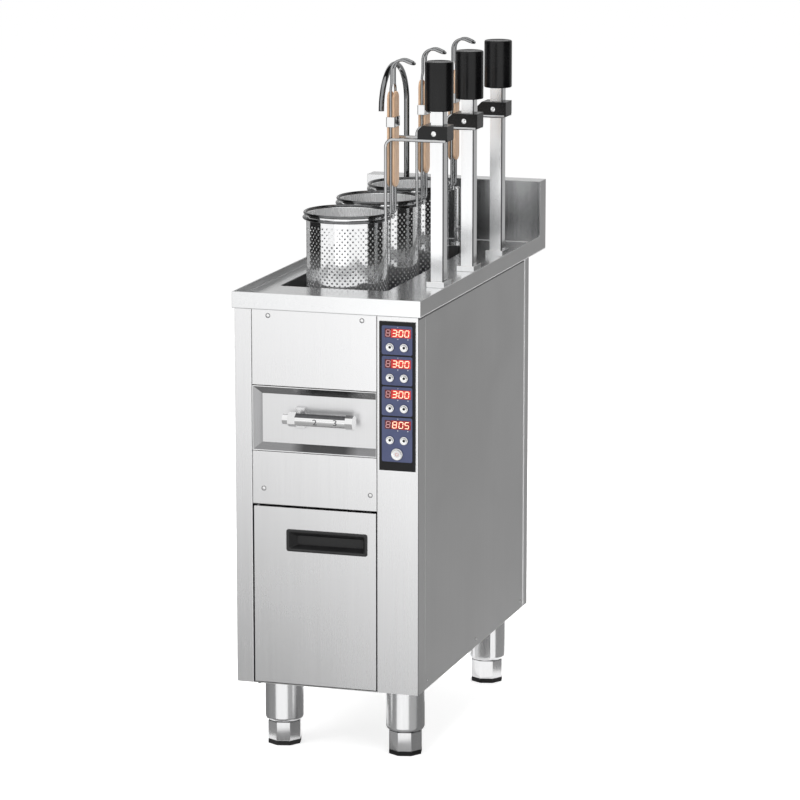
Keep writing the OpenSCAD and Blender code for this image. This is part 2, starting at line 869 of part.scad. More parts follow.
module post_collars() {
  color(bright)
    for (i = lifts)
      difference() {
        block([post_x - collar_w / 2, post_x + collar_w / 2],
          [basket_d(i) - collar_d / 2, basket_d(i) + collar_d / 2], [deck_z, deck_z + collar_h]);
        block([post_x - post_w / 2 - post_room, post_x + post_w / 2 + post_room],
          [basket_d(i) - post_w / 2 - post_room, basket_d(i) + post_w / 2 + post_room],
          [deck_z - eps, deck_z + collar_h + eps]);
      }
}

// Three hairpin heating loops on plates at the tank's rear wall
module heaters() {
  bend_d = tank_d0 + heater_front;
  plate_half = heater_pitch / 2 - heater_plate_gap / 2;
  color("#77797b")
    for (i = [-1, 0, 1])
      translate([tank_x + i * heater_pitch, 0, tank_floor + heater_up])
        union() {
          for (side = [-1, 1])
            bar_d(side * heater_span / 2, [bend_d, tank_d1 - heater_plate_t / 2], 0, heater_dia / 2);
          translate([0, fy(bend_d), 0])
            rotate([0, 0, 180])
              wire_bend(heater_span / 2, 180, heater_dia / 2);
          block([-plate_half, plate_half], [tank_d1 - heater_plate_t, tank_d1],
            [-heater_plate_h / 2, heater_plate_h / 2]);
        }
}

// Fixed tubes of the lift actuators, standing on the cabinet floor
module lift_actuators() {
  color("#8a8d90")
    for (i = lifts)
      difference() {
        union() {
          bar_z(post_x, basket_d(i), [base_z, actuator_z], actuator_r);
          block([post_x - actuator_r, post_x + actuator_r],
            [basket_d(i) - actuator_plate_half, basket_d(i) + actuator_plate_half],
            [base_z, base_z + actuator_plate_t]);
        }
        bar_z(post_x, basket_d(i), [bore_z, actuator_z + eps], rod_r + shaft_clear);
      }
}

// Ball valve under the tank, its drain pipe to the rear, and the stem's block in the recess
module drain_valve() {
  pan_back = cab_d0 + recess_d + sheet_t;
  valve_d0 = valve_back - valve_w / 2;
  valve_d1 = valve_back + valve_w / 2;
  color("#b09a55")
    difference() {
      union() {
        bar_z(lever_x, drain_d, [lever_z, tank_floor - deck_t], pipe_r);
        translate([lever_x, fy(drain_d), lever_z])
          sphere(pipe_r);
        bar_d(lever_x, [valve_back, drain_d], lever_z, pipe_r);
        block([lever_x - valve_w / 2, lever_x + valve_w / 2], [valve_d0, valve_d1],
          [lever_z - valve_w / 2, lever_z + valve_w / 2]);
        bar_d(lever_x, [pan_back, valve_d0 + eps], lever_z, bonnet_r);
        bar_z(lever_x, valve_back, [pipe_z, lever_z], pipe_r);
        translate([lever_x, fy(valve_back), pipe_z])
          sphere(pipe_r);
        bar_d(lever_x, [valve_back, cab_d1], pipe_z, pipe_r);
        bar_d(lever_x, [cab_d1 - eps, cab_d1 + pipe_out], pipe_z, pipe_r - outlet_step);
      }
      bar_d(lever_x, [pan_back - eps, valve_d0 + stem_l + stem_room], lever_z, stem_r + shaft_clear);
      bar_d(lever_x, [cab_d1 - pipe_out, cab_d1 + pipe_out + eps], pipe_z, pipe_bore_r);
    }
  color("#55585a")
    difference() {
      block([lever_x - stem_block_w / 2, lever_x + stem_block_w / 2],
        [cab_d0 - stem_block_proud, cab_d0 + recess_d - sheet_t],
        [lever_z - stem_block_h / 2, lever_z + stem_block_h / 2]);
      bar_d(lever_x, [cab_d0 - stem_block_proud - eps, cab_d0 + recess_d], lever_z, stem_r + shaft_clear);
    }
}

// Water inlet and cable gland on the back panel
module service_ports() {
  color("#c7a94f")
    difference() {
      union() {
        bar_d(inlet_x, [cab_d1 - port_in, cab_d1 + port_out], port_z, inlet_r);
        bar_d(inlet_x, [cab_d1, cab_d1 + port_flange_t], port_z, inlet_r + port_flange_t);
      }
      bar_d(inlet_x, [cab_d1 - port_in - eps, cab_d1 + port_out + eps], port_z, inlet_bore_r);
    }
  color(dark)
    difference() {
      union() {
        bar_d(gland_x, [cab_d1 - port_in, cab_d1 + port_flange_t], port_z, gland_bore_r + gland_wall);
        bar_d(gland_x, [cab_d1, cab_d1 + port_out], port_z, gland_r);
      }
      bar_d(gland_x, [cab_d1 - port_in - eps, cab_d1 + port_out + eps], port_z, gland_bore_r);
    }
}

// Base of the swivelling spout
module spout_base() {
  color(bright)
    difference() {
      union() {
        bar_z(spout_x, spout_d, [deck_z, deck_z + spout_flange_t], spout_flange_r);
        bar_z(spout_x, spout_d, [deck_z, deck_z + spout_base_h], spout_r + spout_wall);
      }
      bar_z(spout_x, spout_d, [deck_z + spout_base_h - spout_socket - seat, deck_z + spout_base_h + eps],
        spout_r + shaft_clear);
    }
}

// Chrome probe behind the tank that reads the water level
module level_probe() {
  color(bright)
    union() {
      bar_z(probe_x, spout_d, [deck_z, deck_z + probe_flange_t], 2 * probe_r);
      bar_z(probe_x, spout_d, [deck_z, deck_z + probe_h - probe_r], probe_r);
      translate([probe_x, fy(spout_d), deck_z + probe_h - probe_r])
        sphere(probe_r);
      translate([probe_x, fy(spout_d), deck_z + probe_nut_up])
        cylinder(h = probe_nut_h, r = 1.4 * probe_r, $fn = 6);
    }
}

// Folded door with hinge pins at its left edge and a cut-out for the pull
module door_panel() {
  color(bright)
    union() {
      difference() {
        block([door_x0, door_x1], [cab_d0, cab_d0 + door_t], [door_z0, door_z1]);
        block([door_x0 + sheet_t, door_x1 - sheet_t], [cab_d0 + sheet_t, cab_d0 + door_t + eps],
          [door_z0 + sheet_t, door_z1 - sheet_t]);
        front_plate(pull_x, pull_z, pocket_w + 2 * seat, pocket_h + 2 * seat, pull_corner_r + seat,
          [cab_d0 - eps, cab_d0 + sheet_t + eps]);
      }
      for (z = [[door_z0 - door_bottom_gap - pin_reach, door_z0 + pin_block],
                [door_z1 - pin_block, door_z1 + door_top_gap + pin_reach]])
        bar_z(hinge_x, hinge_d, z, pin_r);
      for (z = [[door_z0, door_z0 + pin_block], [door_z1 - pin_block, door_z1]])
        block([door_x0, hinge_x + pin_inset], [cab_d0, hinge_d + pin_inset], z);
    }
}

// Moulded pocket that is gripped to open the door
module door_pull() {
  color("#2a2a2c")
    difference() {
      union() {
        front_plate(pull_x, pull_z, pull_w, pull_h, pull_corner_r, [cab_d0 - pull_proud, cab_d0]);
        front_plate(pull_x, pull_z, pocket_w, pocket_h, pull_corner_r,
          [cab_d0 - pull_proud, cab_d0 + pull_d]);
      }
      front_plate(pull_x, pull_z, pocket_w - 2 * pull_wall, pocket_h - 2 * pull_wall,
        pull_corner_r - pull_wall / 2, [cab_d0 - pull_proud - eps, cab_d0 + pull_d - pull_wall]);
    }
}

// Half of the arch's tube, solid or bore
module spout_path(r, ends) {
  bar_z(spout_x, spout_d, [deck_z + spout_base_h - spout_socket - ends, arch_z], r);
  translate([spout_x, fy(spout_d - spout_arch_r), arch_z])
    rotate([90, 0, 90])
      wire_bend(spout_arch_r, 180, r);
  bar_z(spout_x, spout_d - 2 * spout_arch_r, [arch_z - spout_tip - ends, arch_z], r);
}

// Gooseneck spout that swivels in its base
module spout() {
  color(bright)
    difference() {
      union() {
        spout_path(spout_r, 0);
        bar_z(spout_x, spout_d, [deck_z + spout_base_h + seat, deck_z + spout_base_h + spout_nut_h],
          spout_r + spout_wall);
      }
      spout_path(spout_bore_r, eps);
    }
}

// Lever of the drain valve, with its stem
module drain_lever() {
  nut_x1 = lever_x - nut_off;
  nut_x0 = nut_x1 - nut_l;
  bar_x1 = lever_x + bar_right;
  color(bright)
    union() {
      bar_x([nut_x1 - 1, bar_x1], lever_d, lever_z, bar_r);
      bar_x([nut_x0, nut_x1], lever_d, lever_z, nut_r, 6);
      bar_x([nut_x0 - stub_l, nut_x0], lever_d, lever_z, stub_r);
      bar_x([bar_x1, bar_x1 + bar_end], lever_d, lever_z, nut_r, 8);
      bar_d(lever_x, [lever_d, valve_back - valve_w / 2 + stem_l], lever_z, stem_r);
    }
}

// Octagonal foot with its screw, on a rubber pad
module foot(i) {
  place = foot_places[i];
  half_side = 180 / foot_sides;
  corner_r = foot_flats / 2 / cos(half_side);
  translate([place[0], fy(place[1]), 0]) {
    color("#e2e4e6")
      union() {
        rotate([0, 0, half_side + foot_turn])
          translate([0, 0, pad_h])
            cylinder(h = foot_h - pad_h, r = corner_r, $fn = foot_sides);
        translate([0, 0, pad_h])
          cylinder(h = foot_h - pad_h + foot_screw_l, r = foot_screw_r);
      }
    color(dark)
      rotate([0, 0, half_side + foot_turn])
        cylinder(h = pad_h - touch, r = corner_r, $fn = foot_sides);
  }
}

// Square post welded to its actuator's push rod
module lift_post(i) {
  half = post_w / 2;
  plug = 15;
  top = cap_z + cap_h - cap_wall;
  color(bright)
    union() {
      difference() {
        block([post_x - half, post_x + half], [basket_d(i) - half, basket_d(i) + half], [post_z, top]);
        block([post_x - half + post_t, post_x + half - post_t],
          [basket_d(i) - half + post_t, basket_d(i) + half - post_t], [post_z + plug, top + eps]);
      }
      bar_z(post_x, basket_d(i), [rod_z, post_z], rod_r);
    }
}

// Round black cap over a post's end
module post_cap(i) {
  half = post_w / 2 + touch;
  color(dark)
    difference() {
      translate([post_x, fy(basket_d(i)), cap_z])
        rotate_extrude() {
          translate([0, cap_edge_r])
            square([cap_dia / 2, cap_h - 2 * cap_edge_r]);
          square([cap_dia / 2 - cap_edge_r, cap_h]);
          for (z = [cap_edge_r, cap_h - cap_edge_r])
            translate([cap_dia / 2 - cap_edge_r, z])
              circle(cap_edge_r);
        }
      block([post_x - half, post_x + half], [basket_d(i) - half, basket_d(i) + half],
        [cap_z - eps, cap_z + cap_h - cap_wall]);
    }
}

// Block that clamps a bracket's wires to a post
module lift_clamp(i) {
  half = post_w / 2 + touch;
  x0 = post_x - clamp_left;
  x1 = post_x + clamp_right;
  color(dark)
    difference() {
      translate([0, fy(basket_d(i) + clamp_d / 2), clamp_z])
        rotate([90, 0, 0])
          linear_extrude(clamp_d)
            polygon([
              [x0, 0], [x1, 0], [x1, clamp_h], [x0 + clamp_chamfer, clamp_h], [x0, clamp_h - clamp_chamfer]
            ]);
      block([post_x - half, post_x + half], [basket_d(i) - half, basket_d(i) + half],
        [clamp_z - eps, clamp_z + clamp_h + eps]);
      for (side = [-1, 1])
        bar_x([x0 - eps, x1 + eps], basket_d(i) + side * bracket_half, bracket_z, bracket_wr + touch);
    }
}

// Wire bracket with the ring that carries a basket, and its clamp screw
module lift_bracket(i) {
  color(bright)
    union() {
      wire_ring(basket_x, basket_d(i), carry_z, carry_r, ring_wr);
      for (side = [-1, 1])
        translate([0, side * bracket_half, 0]) {
          bar_z(bracket_x, basket_d(i), [carry_z - ring_wr, bracket_z - bracket_bend_r], bracket_wr);
          translate([bracket_x + bracket_bend_r, fy(basket_d(i)), bracket_z - bracket_bend_r])
            rotate([90, 0, 0])
              rotate([0, 0, 90])
                wire_bend(bracket_bend_r, 90, bracket_wr);
          bar_x([bracket_x + bracket_bend_r, post_x + clamp_right - bracket_short], basket_d(i), bracket_z,
            bracket_wr);
        }
      translate([post_x - clamp_screw_left, fy(basket_d(i) - clamp_d / 2), clamp_z + clamp_h / 2])
        rotate([90, 0, 0])
          intersection() {
            cylinder(h = clamp_screw_r / 2, r = clamp_screw_r);
            translate([0, 0, -clamp_screw_r * 0.75])
              sphere(clamp_screw_r * 1.25);
          }
    }
}

// Body of a basket, with its turned-out lip
module basket_cup(i) {
  color("#b9bbbd")
    translate([basket_x, fy(basket_d(i)), cup_z])
      difference() {
        union() {
          round_foot_post(cup_r, cup_h, cup_edge_r);
          translate([0, 0, cup_h - lip_t])
            cylinder(h = lip_t, r = lip_r);
        }
        translate([0, 0, cup_t])
          round_foot_post(cup_r - cup_t, cup_h, cup_edge_r - cup_t);
      }
}

// A straight run of handle wire along Z that laps into the bends at its ends
module handle_run(l) {
  translate([0, 0, -eps])
    cylinder(h = l + 2 * eps, r = handle_wr);
}

// The rear wire of a handle, from the rim to the hook's bend
module handle_side() {
  translate([0, handle_span / 2, 0]) {
    translate([handle_root - handle_x, 0, ring_z])
      rotate([0, 90, 0])
        handle_run(handle_x - handle_bend_r - handle_root);
    translate([-handle_bend_r, 0, ring_z + handle_bend_r])
      rotate([90, 0, 0])
        rotate([0, 0, -90])
          wire_bend(handle_bend_r, 90, handle_wr - touch);
    translate([0, 0, ring_z + handle_bend_r])
      handle_run(step_z - ring_z - handle_bend_r);
    translate([0, -step_r, step_z])
      rotate([90, 0, 90])
        wire_bend(step_r, step_turn, handle_wr - touch);
    translate([0, step_r * (cos(step_turn) - 1), step_z + step_r * sin(step_turn)])
      rotate([step_turn, 0, 0])
        handle_run(step_l);
    translate([0, step_r - hook_step, step_z + step_h])
      rotate([90, 0, 90])
        rotate([0, 0, 180])
          wire_bend(step_r, step_turn, handle_wr - touch);
  }
  translate([0, hook_half, step_z + step_h])
    handle_run(hook_z - step_z - step_h);
  translate([hook_bend_r, hook_half, hook_z])
    rotate([90, 0, 0])
      rotate([0, 0, 180 - hook_turn])
        wire_bend(hook_bend_r, hook_turn, handle_wr - touch);
  translate([hook_bend_r, hook_half, hook_z])
    rotate([0, hook_turn - 90, 0])
      translate([0, 0, hook_bend_r])
        rotate([0, 90, 0])
          handle_run(hook_l);
}

// Rim ring, handle wires with their hook, and the clip round the grip
module basket_frame(i) {
  clip_z = ring_z + clip_up;
  grip_half = handle_wr + touch + grip_t + touch;
  clip_half = handle_span / 2 + handle_wr + touch;
  color(bright)
    union() {
      wire_ring(basket_x, basket_d(i), ring_z, rim_ring_r, ring_wr);
      translate([handle_x, fy(basket_d(i)), 0]) {
        handle_side();
        mirror([0, 1, 0])
          handle_side();
        translate([hook_bend_r, 0, hook_z])
          rotate([0, hook_turn - 90, 0])
            translate([hook_l, 0, hook_bend_r])
              rotate([0, 0, -90])
                wire_bend(hook_half, 180, handle_wr - touch);
      }
      difference() {
        block([handle_x - grip_half - clip_t, handle_x + grip_half + clip_t],
          [basket_d(i) - clip_half - clip_t, basket_d(i) + clip_half + clip_t], [clip_z, clip_z + clip_h]);
        block([handle_x - grip_half, handle_x + grip_half],
          [basket_d(i) - clip_half, basket_d(i) + clip_half], [clip_z - eps, clip_z + clip_h + eps]);
      }
    }
}

// Two wooden scales on the handle's wires
module basket_grip(i) {
  grip_w = handle_span + grip_lap;
  color("#c79668")
    for (x = [handle_x - handle_wr - touch - grip_t, handle_x + handle_wr + touch])
      translate([x, fy(basket_d(i)), grip_z + grip_l / 2])
        rotate([90, 0, 90])
          linear_extrude(grip_t)
            round_rect(grip_w, grip_l, grip_w / 2 - grip_lap);
}

// Push button with a flange behind the control panel
module push_button(x, z, r) {
  color("#d4d5d7")
    union() {
      bar_d(x, [face_d - button_proud, button_back], z, r);
      bar_d(x, [cab_d0 + seat, cab_d0 + seat + button_flange_t], z, r + button_flange);
    }
}

module timer_button(i, side) {
  push_button(bezel_x + side * button_span / 2, button_z(i), button_r);
}

worktop();
tank();
left_stile();
right_column();
side_panels();
back_panel();
base_plate();
upper_panel();
recess_pan();
lower_panel();
control_bezel();
timer_faces();
control_box();
leg_tubes();
panel_screws();
post_collars();
heaters();
lift_actuators();
drain_valve();
service_ports();
spout_base();
level_probe();
door_panel();
door_pull();
spout();
drain_lever();
foot(0);  // foot_1
foot(1);  // foot_2
foot(2);  // foot_3
foot(3);  // foot_4
lift_post(0);  // lift_post_1
lift_post(1);  // lift_post_2
lift_post(2);  // lift_post_3
post_cap(0);  // post_cap_1
post_cap(1);  // post_cap_2
post_cap(2);  // post_cap_3
lift_clamp(0);  // lift_clamp_1
lift_clamp(1);  // lift_clamp_2
lift_clamp(2);  // lift_clamp_3
lift_bracket(0);  // lift_bracket_1
lift_bracket(1);  // lift_bracket_2
lift_bracket(2);  // lift_bracket_3
basket_cup(0);  // basket_cup_1
basket_cup(1);  // basket_cup_2
basket_cup(2);  // basket_cup_3
basket_frame(0);  // basket_frame_1
basket_frame(1);  // basket_frame_2
basket_frame(2);  // basket_frame_3
basket_grip(0);  // basket_grip_1
basket_grip(1);  // basket_grip_2
basket_grip(2);  // basket_grip_3
timer_button(0, -1);  // timer_1_start
timer_button(0, 1);  // timer_1_set
timer_button(1, -1);  // timer_2_start
timer_button(1, 1);  // timer_2_set
timer_button(2, -1);  // timer_3_start
timer_button(2, 1);  // timer_3_set
timer_button(3, -1);  // heat_less
timer_button(3, 1);  // heat_more
push_button(bezel_x, face_z1(3) - power_drop, power_r);  // power_button
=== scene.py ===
import json
from contextlib import contextmanager
from math import cos, dist, radians, sin, tan, tau
from types import SimpleNamespace
import bpy
import bmesh
from mathutils import Matrix, Vector


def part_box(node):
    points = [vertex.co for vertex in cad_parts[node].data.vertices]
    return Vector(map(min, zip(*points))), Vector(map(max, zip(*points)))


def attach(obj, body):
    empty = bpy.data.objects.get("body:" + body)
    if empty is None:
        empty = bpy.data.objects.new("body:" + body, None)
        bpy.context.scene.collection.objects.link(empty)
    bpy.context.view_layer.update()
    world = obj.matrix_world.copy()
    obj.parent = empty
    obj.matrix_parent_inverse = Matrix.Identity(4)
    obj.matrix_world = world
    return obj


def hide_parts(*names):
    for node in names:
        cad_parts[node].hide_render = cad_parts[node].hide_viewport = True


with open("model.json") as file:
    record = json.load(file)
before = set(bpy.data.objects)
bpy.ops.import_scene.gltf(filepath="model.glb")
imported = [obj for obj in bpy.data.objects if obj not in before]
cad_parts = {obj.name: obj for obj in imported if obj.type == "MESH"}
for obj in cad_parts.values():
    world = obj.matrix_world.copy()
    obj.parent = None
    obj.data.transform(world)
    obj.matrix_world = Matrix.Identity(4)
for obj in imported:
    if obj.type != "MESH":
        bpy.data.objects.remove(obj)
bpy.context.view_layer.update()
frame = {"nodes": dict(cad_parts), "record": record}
cadNodes = frame["nodes"]
bodyOfNode = {n: b for b, names in frame["record"]["behaviour"]["bodies"].items() for n in names}
slotOfNode = {s["node"]: s["material_slot"] for s in frame["record"]["subparts"]}
scene = bpy.context.scene
mm = 0.001
lifts = (1, 2, 3)
print("frame loaded:", len(cadNodes), "nodes")


def setAll(thing, **values):
    for key, value in values.items():
        setattr(thing, key, value)
    return thing


# node helpers

def plug(tree, sockets, links):  # links outputs to sockets, or sets plain values
    for key, source in links.items():
        if isinstance(source, bpy.types.NodeSocket):
            tree.links.new(source, sockets[key])
        else:
            sockets[key].default_value = source


def make(tree, kind, links={}, output=0, **settings):  # a node with its settings and inputs, given as one of its outputs
    node = setAll(tree.nodes.new(kind), **settings)
    plug(tree, node.inputs, links)
    return node.outputs[output]


def calc(tree, operation, *values):
    return make(tree, "ShaderNodeMath", dict(enumerate(values)), operation=operation)


def mapRange(tree, source, low, high, toLow=0.0, toHigh=1.0):
    return make(tree, "ShaderNodeMapRange", dict(enumerate((source, low, high, toLow, toHigh))))


def noise(tree, vector, scale, detail, rough=0.5, twist=0.0):
    return make(tree, "ShaderNodeTexNoise", {"Vector": vector, "Scale": scale, "Detail": detail, "Roughness": rough,
                                             "Distortion": twist}, "Fac")


def startGroup(name, kind, inputs, output):
    tree = bpy.data.node_groups.new(name, kind)
    for label, form in inputs:
        tree.interface.new_socket(label, in_out="INPUT", socket_type="NodeSocket" + form)
    tree.interface.new_socket(output[0], in_out="OUTPUT", socket_type="NodeSocket" + output[1])
    return tree, tree.nodes.new("NodeGroupInput").outputs, tree.nodes.new("NodeGroupOutput").inputs


# shader groups shared by the finishes

def shaderGroup(name, size, output):
    return startGroup(name, "ShaderNodeTree", [("Vector", "Vector"), (size, "Float")], (output, "Float"))


def buildBrushGrain():  # long fine streaks left by the polishing belt
    group, gin, gout = shaderGroup("brushGrain", "Fineness", "Streaks")
    fine = noise(group, gin["Vector"], gin["Fineness"], 2.0, 0.6)
    wide = noise(group, gin["Vector"], calc(group, "MULTIPLY", gin["Fineness"], 0.22), 1.0)
    blend = make(group, "ShaderNodeMix", {0: 0.4, 2: fine, 3: wide}, data_type="FLOAT")
    plug(group, gout, {0: mapRange(group, blend, 0.32, 0.68)})
    return group


def buildHandling():  # soft clouds of handling and wiping
    group, gin, gout = shaderGroup("handling", "Size", "Smudge")
    cloud = noise(group, gin["Vector"], gin["Size"], 4.0, 0.55, 0.6)
    plug(group, gout, {0: mapRange(group, cloud, 0.38, 0.66)})
    return group


def buildMouldGrain():  # fine spark-eroded skin of moulded plastic
    group, gin, gout = shaderGroup("mouldGrain", "Size", "Grain")
    grit = make(group, "ShaderNodeTexVoronoi", {"Vector": gin["Vector"], "Scale": gin["Size"]}, "Distance", feature="F1")
    plug(group, gout, {0: mapRange(group, grit, 0.1, 0.7)})
    return group


brushGrain, handling, mouldGrain = buildBrushGrain(), buildHandling(), buildMouldGrain()


def startMaterial(name):
    material = bpy.data.materials.new(name)
    material.use_nodes = True
    tree = material.node_tree
    return material, tree, tree.nodes["Principled BSDF"].inputs, make(tree, "ShaderNodeTexCoord", output="Object")


def useGroup(tree, group, vector, size):
    return make(tree, "ShaderNodeGroup", {0: vector, 1: size}, node_tree=group)


def stretched(tree, place, scale):
    return make(tree, "ShaderNodeMapping", {"Vector": place, "Scale": scale})


def mixColour(tree, factor, first, second):
    first, second = ((*c, 1.0) if isinstance(c, tuple) else c for c in (first, second))
    return make(tree, "ShaderNodeMix", {0: factor, 6: first, 7: second}, 2, data_type="RGBA")


def addBump(tree, shader, height, strength, distance=0.0002):
    bump = make(tree, "ShaderNodeBump", {"Strength": strength, "Distance": distance, "Height": height})
    plug(tree, shader, {"Normal": bump})


def nearFactor(tree, place, axis, centre, inner, outer, low, high):  # low round a place on one axis, high away from it
    along = make(tree, "ShaderNodeSeparateXYZ", {0: place}, axis)
    away = calc(tree, "ABSOLUTE", calc(tree, "SUBTRACT", along, centre))
    return mapRange(tree, away, inner, outer, low, high)


def steelFinish(name, dark, light, rough, grain, fineness=900.0, bump=0.06, smudge=0.25, shades=(), haze=None):
    material, tree, shader, place = startMaterial(name)
    plug(tree, shader, {"Metallic": 1.0})
    if haze:
        plug(tree, shader, {"Metallic": nearFactor(tree, place, 2, *haze)})
    streaks = useGroup(tree, brushGrain, stretched(tree, place, grain), fineness)
    clouds = useGroup(tree, handling, place, 5.0)
    worn = tuple(c * 0.94 for c in light)
    tint = mixColour(tree, mapRange(tree, clouds, 0, 1, 0, smudge), mixColour(tree, streaks, dark, light), worn)
    # painted shade: each one scales the tone by its distance from a place on one axis
    for shade in shades:
        tint = make(tree, "ShaderNodeVectorMath", {0: tint, "Scale": nearFactor(tree, place, *shade)}, operation="SCALE")
    spread = calc(tree, "ADD", mapRange(tree, streaks, 0, 1, *rough), mapRange(tree, clouds, 0, 1, 0, smudge * 0.2))
    plug(tree, shader, {"Base Color": tint, "Roughness": spread})
    addBump(tree, shader, streaks, bump)
    return material


def plasticFinish(name, dark, light, rough, size, bump, shine):
    material, tree, shader, place = startMaterial(name)
    clouds = useGroup(tree, handling, place, 14.0)
    plug(tree, shader, {"Base Color": mixColour(tree, clouds, dark, light), "Specular IOR Level": shine,
                        "Roughness": mapRange(tree, clouds, 0, 1, *rough)})
    addBump(tree, shader, useGroup(tree, mouldGrain, place, size), bump)
    return material


def woodFinish(name):  # oiled beech with long pores
    material, tree, shader, place = startMaterial(name)
    rings = noise(tree, stretched(tree, place, (260, 260, 12)), 1.0, 3.0, twist=1.2)
    pores = noise(tree, stretched(tree, place, (1800, 1800, 60)), 1.0, 2.0)
    base = mixColour(tree, mapRange(tree, rings, 0.35, 0.65), (0.74, 0.47, 0.29), (0.88, 0.61, 0.41))
    pore = mapRange(tree, pores, 0.58, 0.72, 0, 0.4)
    plug(tree, shader, {"Base Color": mixColour(tree, pore, base, (0.42, 0.21, 0.1)),
                        "Roughness": mapRange(tree, rings, 0.3, 0.7, 0.24, 0.34)})
    addBump(tree, shader, pores, 0.15, 0.0003)
    return material


def glowFinish(name, dark, light, strength, scale):  # lit plastic behind a filter
    material, tree, shader, place = startMaterial(name)
    tint = mixColour(tree, mapRange(tree, noise(tree, place, scale, 1.0), 0.35, 0.65), dark, light)
    plug(tree, shader, {"Base Color": tint, "Emission Color": tint, "Emission Strength": strength, "Roughness": 0.3})
    return material


def grey(value, tint):  # a grey with its tint added, or a colour as it is
    return value if isinstance(value, tuple) else tuple(value + t for t in tint)


plain, faint, cold, warm = (0, 0, 0), (0, 0, 0.005), (0, 0.005, 0.01), (0, -0.005, -0.01)
upright, deep, level = (1, 1, 0.012), (1, 0.012, 1), (0.012, 1, 1)  # the way the grain runs
turned = {"fineness": 700.0, "bump": 0.02, "smudge": 0.15}
polished = {"fineness": 400.0, "bump": 0.01, "smudge": 0.1}
bright = ((0.02, 0.04), (1, 1, 0.2), polished)
steels = {  # name: darkest and lightest tone, tint, roughness, stretch of the grain, the rest
    "frontSteel": (0.865, 0.895, faint, (0.25, 0.27), upright, {"bump": 0.008, "smudge": 0.12}),
    "deckSteel": (0.83, 0.9, cold, (0.15, 0.23), deep, {"bump": 0.03}),
    # sideSteel: darker steel for the sides and back; on the worktop and right column it paints their side faces darker,
    # as shade
    "sideSteel": (0.6, 0.66, plain, (0.3, 0.4), upright),
    # recess walls: darker copies of the steel, painted shade in the recess; the top and bottom walls are darker still
    # in the middle, a painted reflection of the lever bar
    "recessTopShade": (0.32, 0.37, faint, (0.2, 0.28), level, {"shades": [(0, -0.0045, 0.04, 0.05, 0.45, 1.0)]}),
    "recessLowShade": (0.26, 0.3, faint, (0.2, 0.28), level, {"shades": [(0, -0.0045, 0.036, 0.06, 0.3, 1.0)]}),
    "recessSideShade": (0.35, 0.39, faint, (0.2, 0.28), upright),
    # splashSteel: painted reflection of the dark posts, darker about the middle, and painted shade above and below a
    # band 0.9 m high
    "splashSteel": (0.8, 0.88, cold, (0.15, 0.23), upright,
                    {"bump": 0.03, "shades": [(0, 0.0, 0.05, 0.13, 0.36, 1.0), (2, 0.9, 0.02, 0.075, 1.0, 0.6)]}),
    # cupInside: darker copy of the basket steel for the cup's inner faces, painted shade inside the cup
    "cupInside": (0.8, 0.86, cold, (0.2, 0.28), (1, 1, 0.05), {**turned, "haze": (0.9, 1.0, 2.0, 0.6, 1.0)}),
    "panSteel": (0.83, 0.86, faint, (0.34, 0.38), upright, {"bump": 0.01, "smudge": 0.12}),
    # tankSteel: darker copy of the steel, painted shade inside the deep tank
    "tankSteel": (0.24, 0.32, faint, (0.25, 0.4), upright),
    "chrome": (0.9, 0.95, cold, (0.03, 0.05), (1, 1, 0.2), polished),
    # wire, ring, bracket and spout chrome: darker copies of the chrome, with the dark reflections on the thin wires
    # painted into their tone
    "wireChrome": (0.32, 0.38, cold, *bright),
    "ringChrome": (0.15, 0.2, (0, 0.003, 0.006), *bright),
    "bracketChrome": (0.54, 0.6, cold, *bright),
    "spoutChrome": (0.26, 0.31, cold, *bright),
    "postSteel": (0.88, 0.94, cold, (0.13, 0.2), (1, 1, 0.02), {"bump": 0.02, "smudge": 0.12}),
    "legSteel": (0.58, 0.63, faint, (0.18, 0.23), (1, 1, 0.1), turned),
    "basketSteel": (0.88, 0.94, cold, (0.05, 0.1), (1, 1, 0.05), {**turned, "haze": (0.8, 0.01, 0.05, 0.8, 1.0)}),
    "leverSteel": (0.86, 0.91, plain, (0.1, 0.15), (0.02, 1, 1), {"bump": 0.03}),
    "valveSteel": (0.1, 0.14, faint, (0.28, 0.38), (1, 0.1, 1)),
    "buttonMetal": (0.92, 0.96, plain, (0.2, 0.26), (1, 1, 1), {"fineness": 1400.0, "bump": 0.02}),
    "heaterSheath": (0.2, 0.3, warm, (0.4, 0.55), (1, 0.05, 1)),
    "brass": ((0.56, 0.4, 0.16), (0.68, 0.5, 0.22), plain, (0.24, 0.36), (1, 0.1, 1)),
}
plastics = {  # name: darkest and lightest tone, tint, roughness, size of the grain, bump, shine
    "blackPlastic": (0.004, 0.008, (0, 0, 0.0005), (0.2, 0.28), 1500.0, 0.12, 0.35),
    "bezelPlastic": (0.005, 0.008, (0, 0, 0.001), (0.3, 0.4), 1500.0, 0.12, 0.3),
    "pullPlastic": (0.013, 0.02, (0, 0, 0.0005), (0.4, 0.5), 1100.0, 0.25, 0.5),
    "rubber": (0.006, 0.012, plain, (0.6, 0.75), 900.0, 0.3, 0.3),
    "timerBlue": ((0.086, 0.102, 0.2), (0.1, 0.117, 0.228), plain, (0.36, 0.46), 2200.0, 0.06, 0.3),
    # light finish for painted highlights along rolled edges, hems and folds
    "hemHighlight": (0.8, 0.86, faint, (0.3, 0.4), 900.0, 0.03, 0.5),
    "paint": (0.4, 0.47, (0, 0.01, 0.02), (0.34, 0.44), 700.0, 0.08, 0.5),
    "printWhite": (0.84, 0.9, (0, 0, 0.01), (0.4, 0.5), 2000.0, 0.03, 0.5),
    "printRed": ((0.55, 0.1, 0.07), (0.66, 0.16, 0.12), plain, (0.4, 0.5), 2000.0, 0.03, 0.5),
    "printGrey": (0.07, 0.1, faint, (0.4, 0.5), 2000.0, 0.03, 0.5),
}
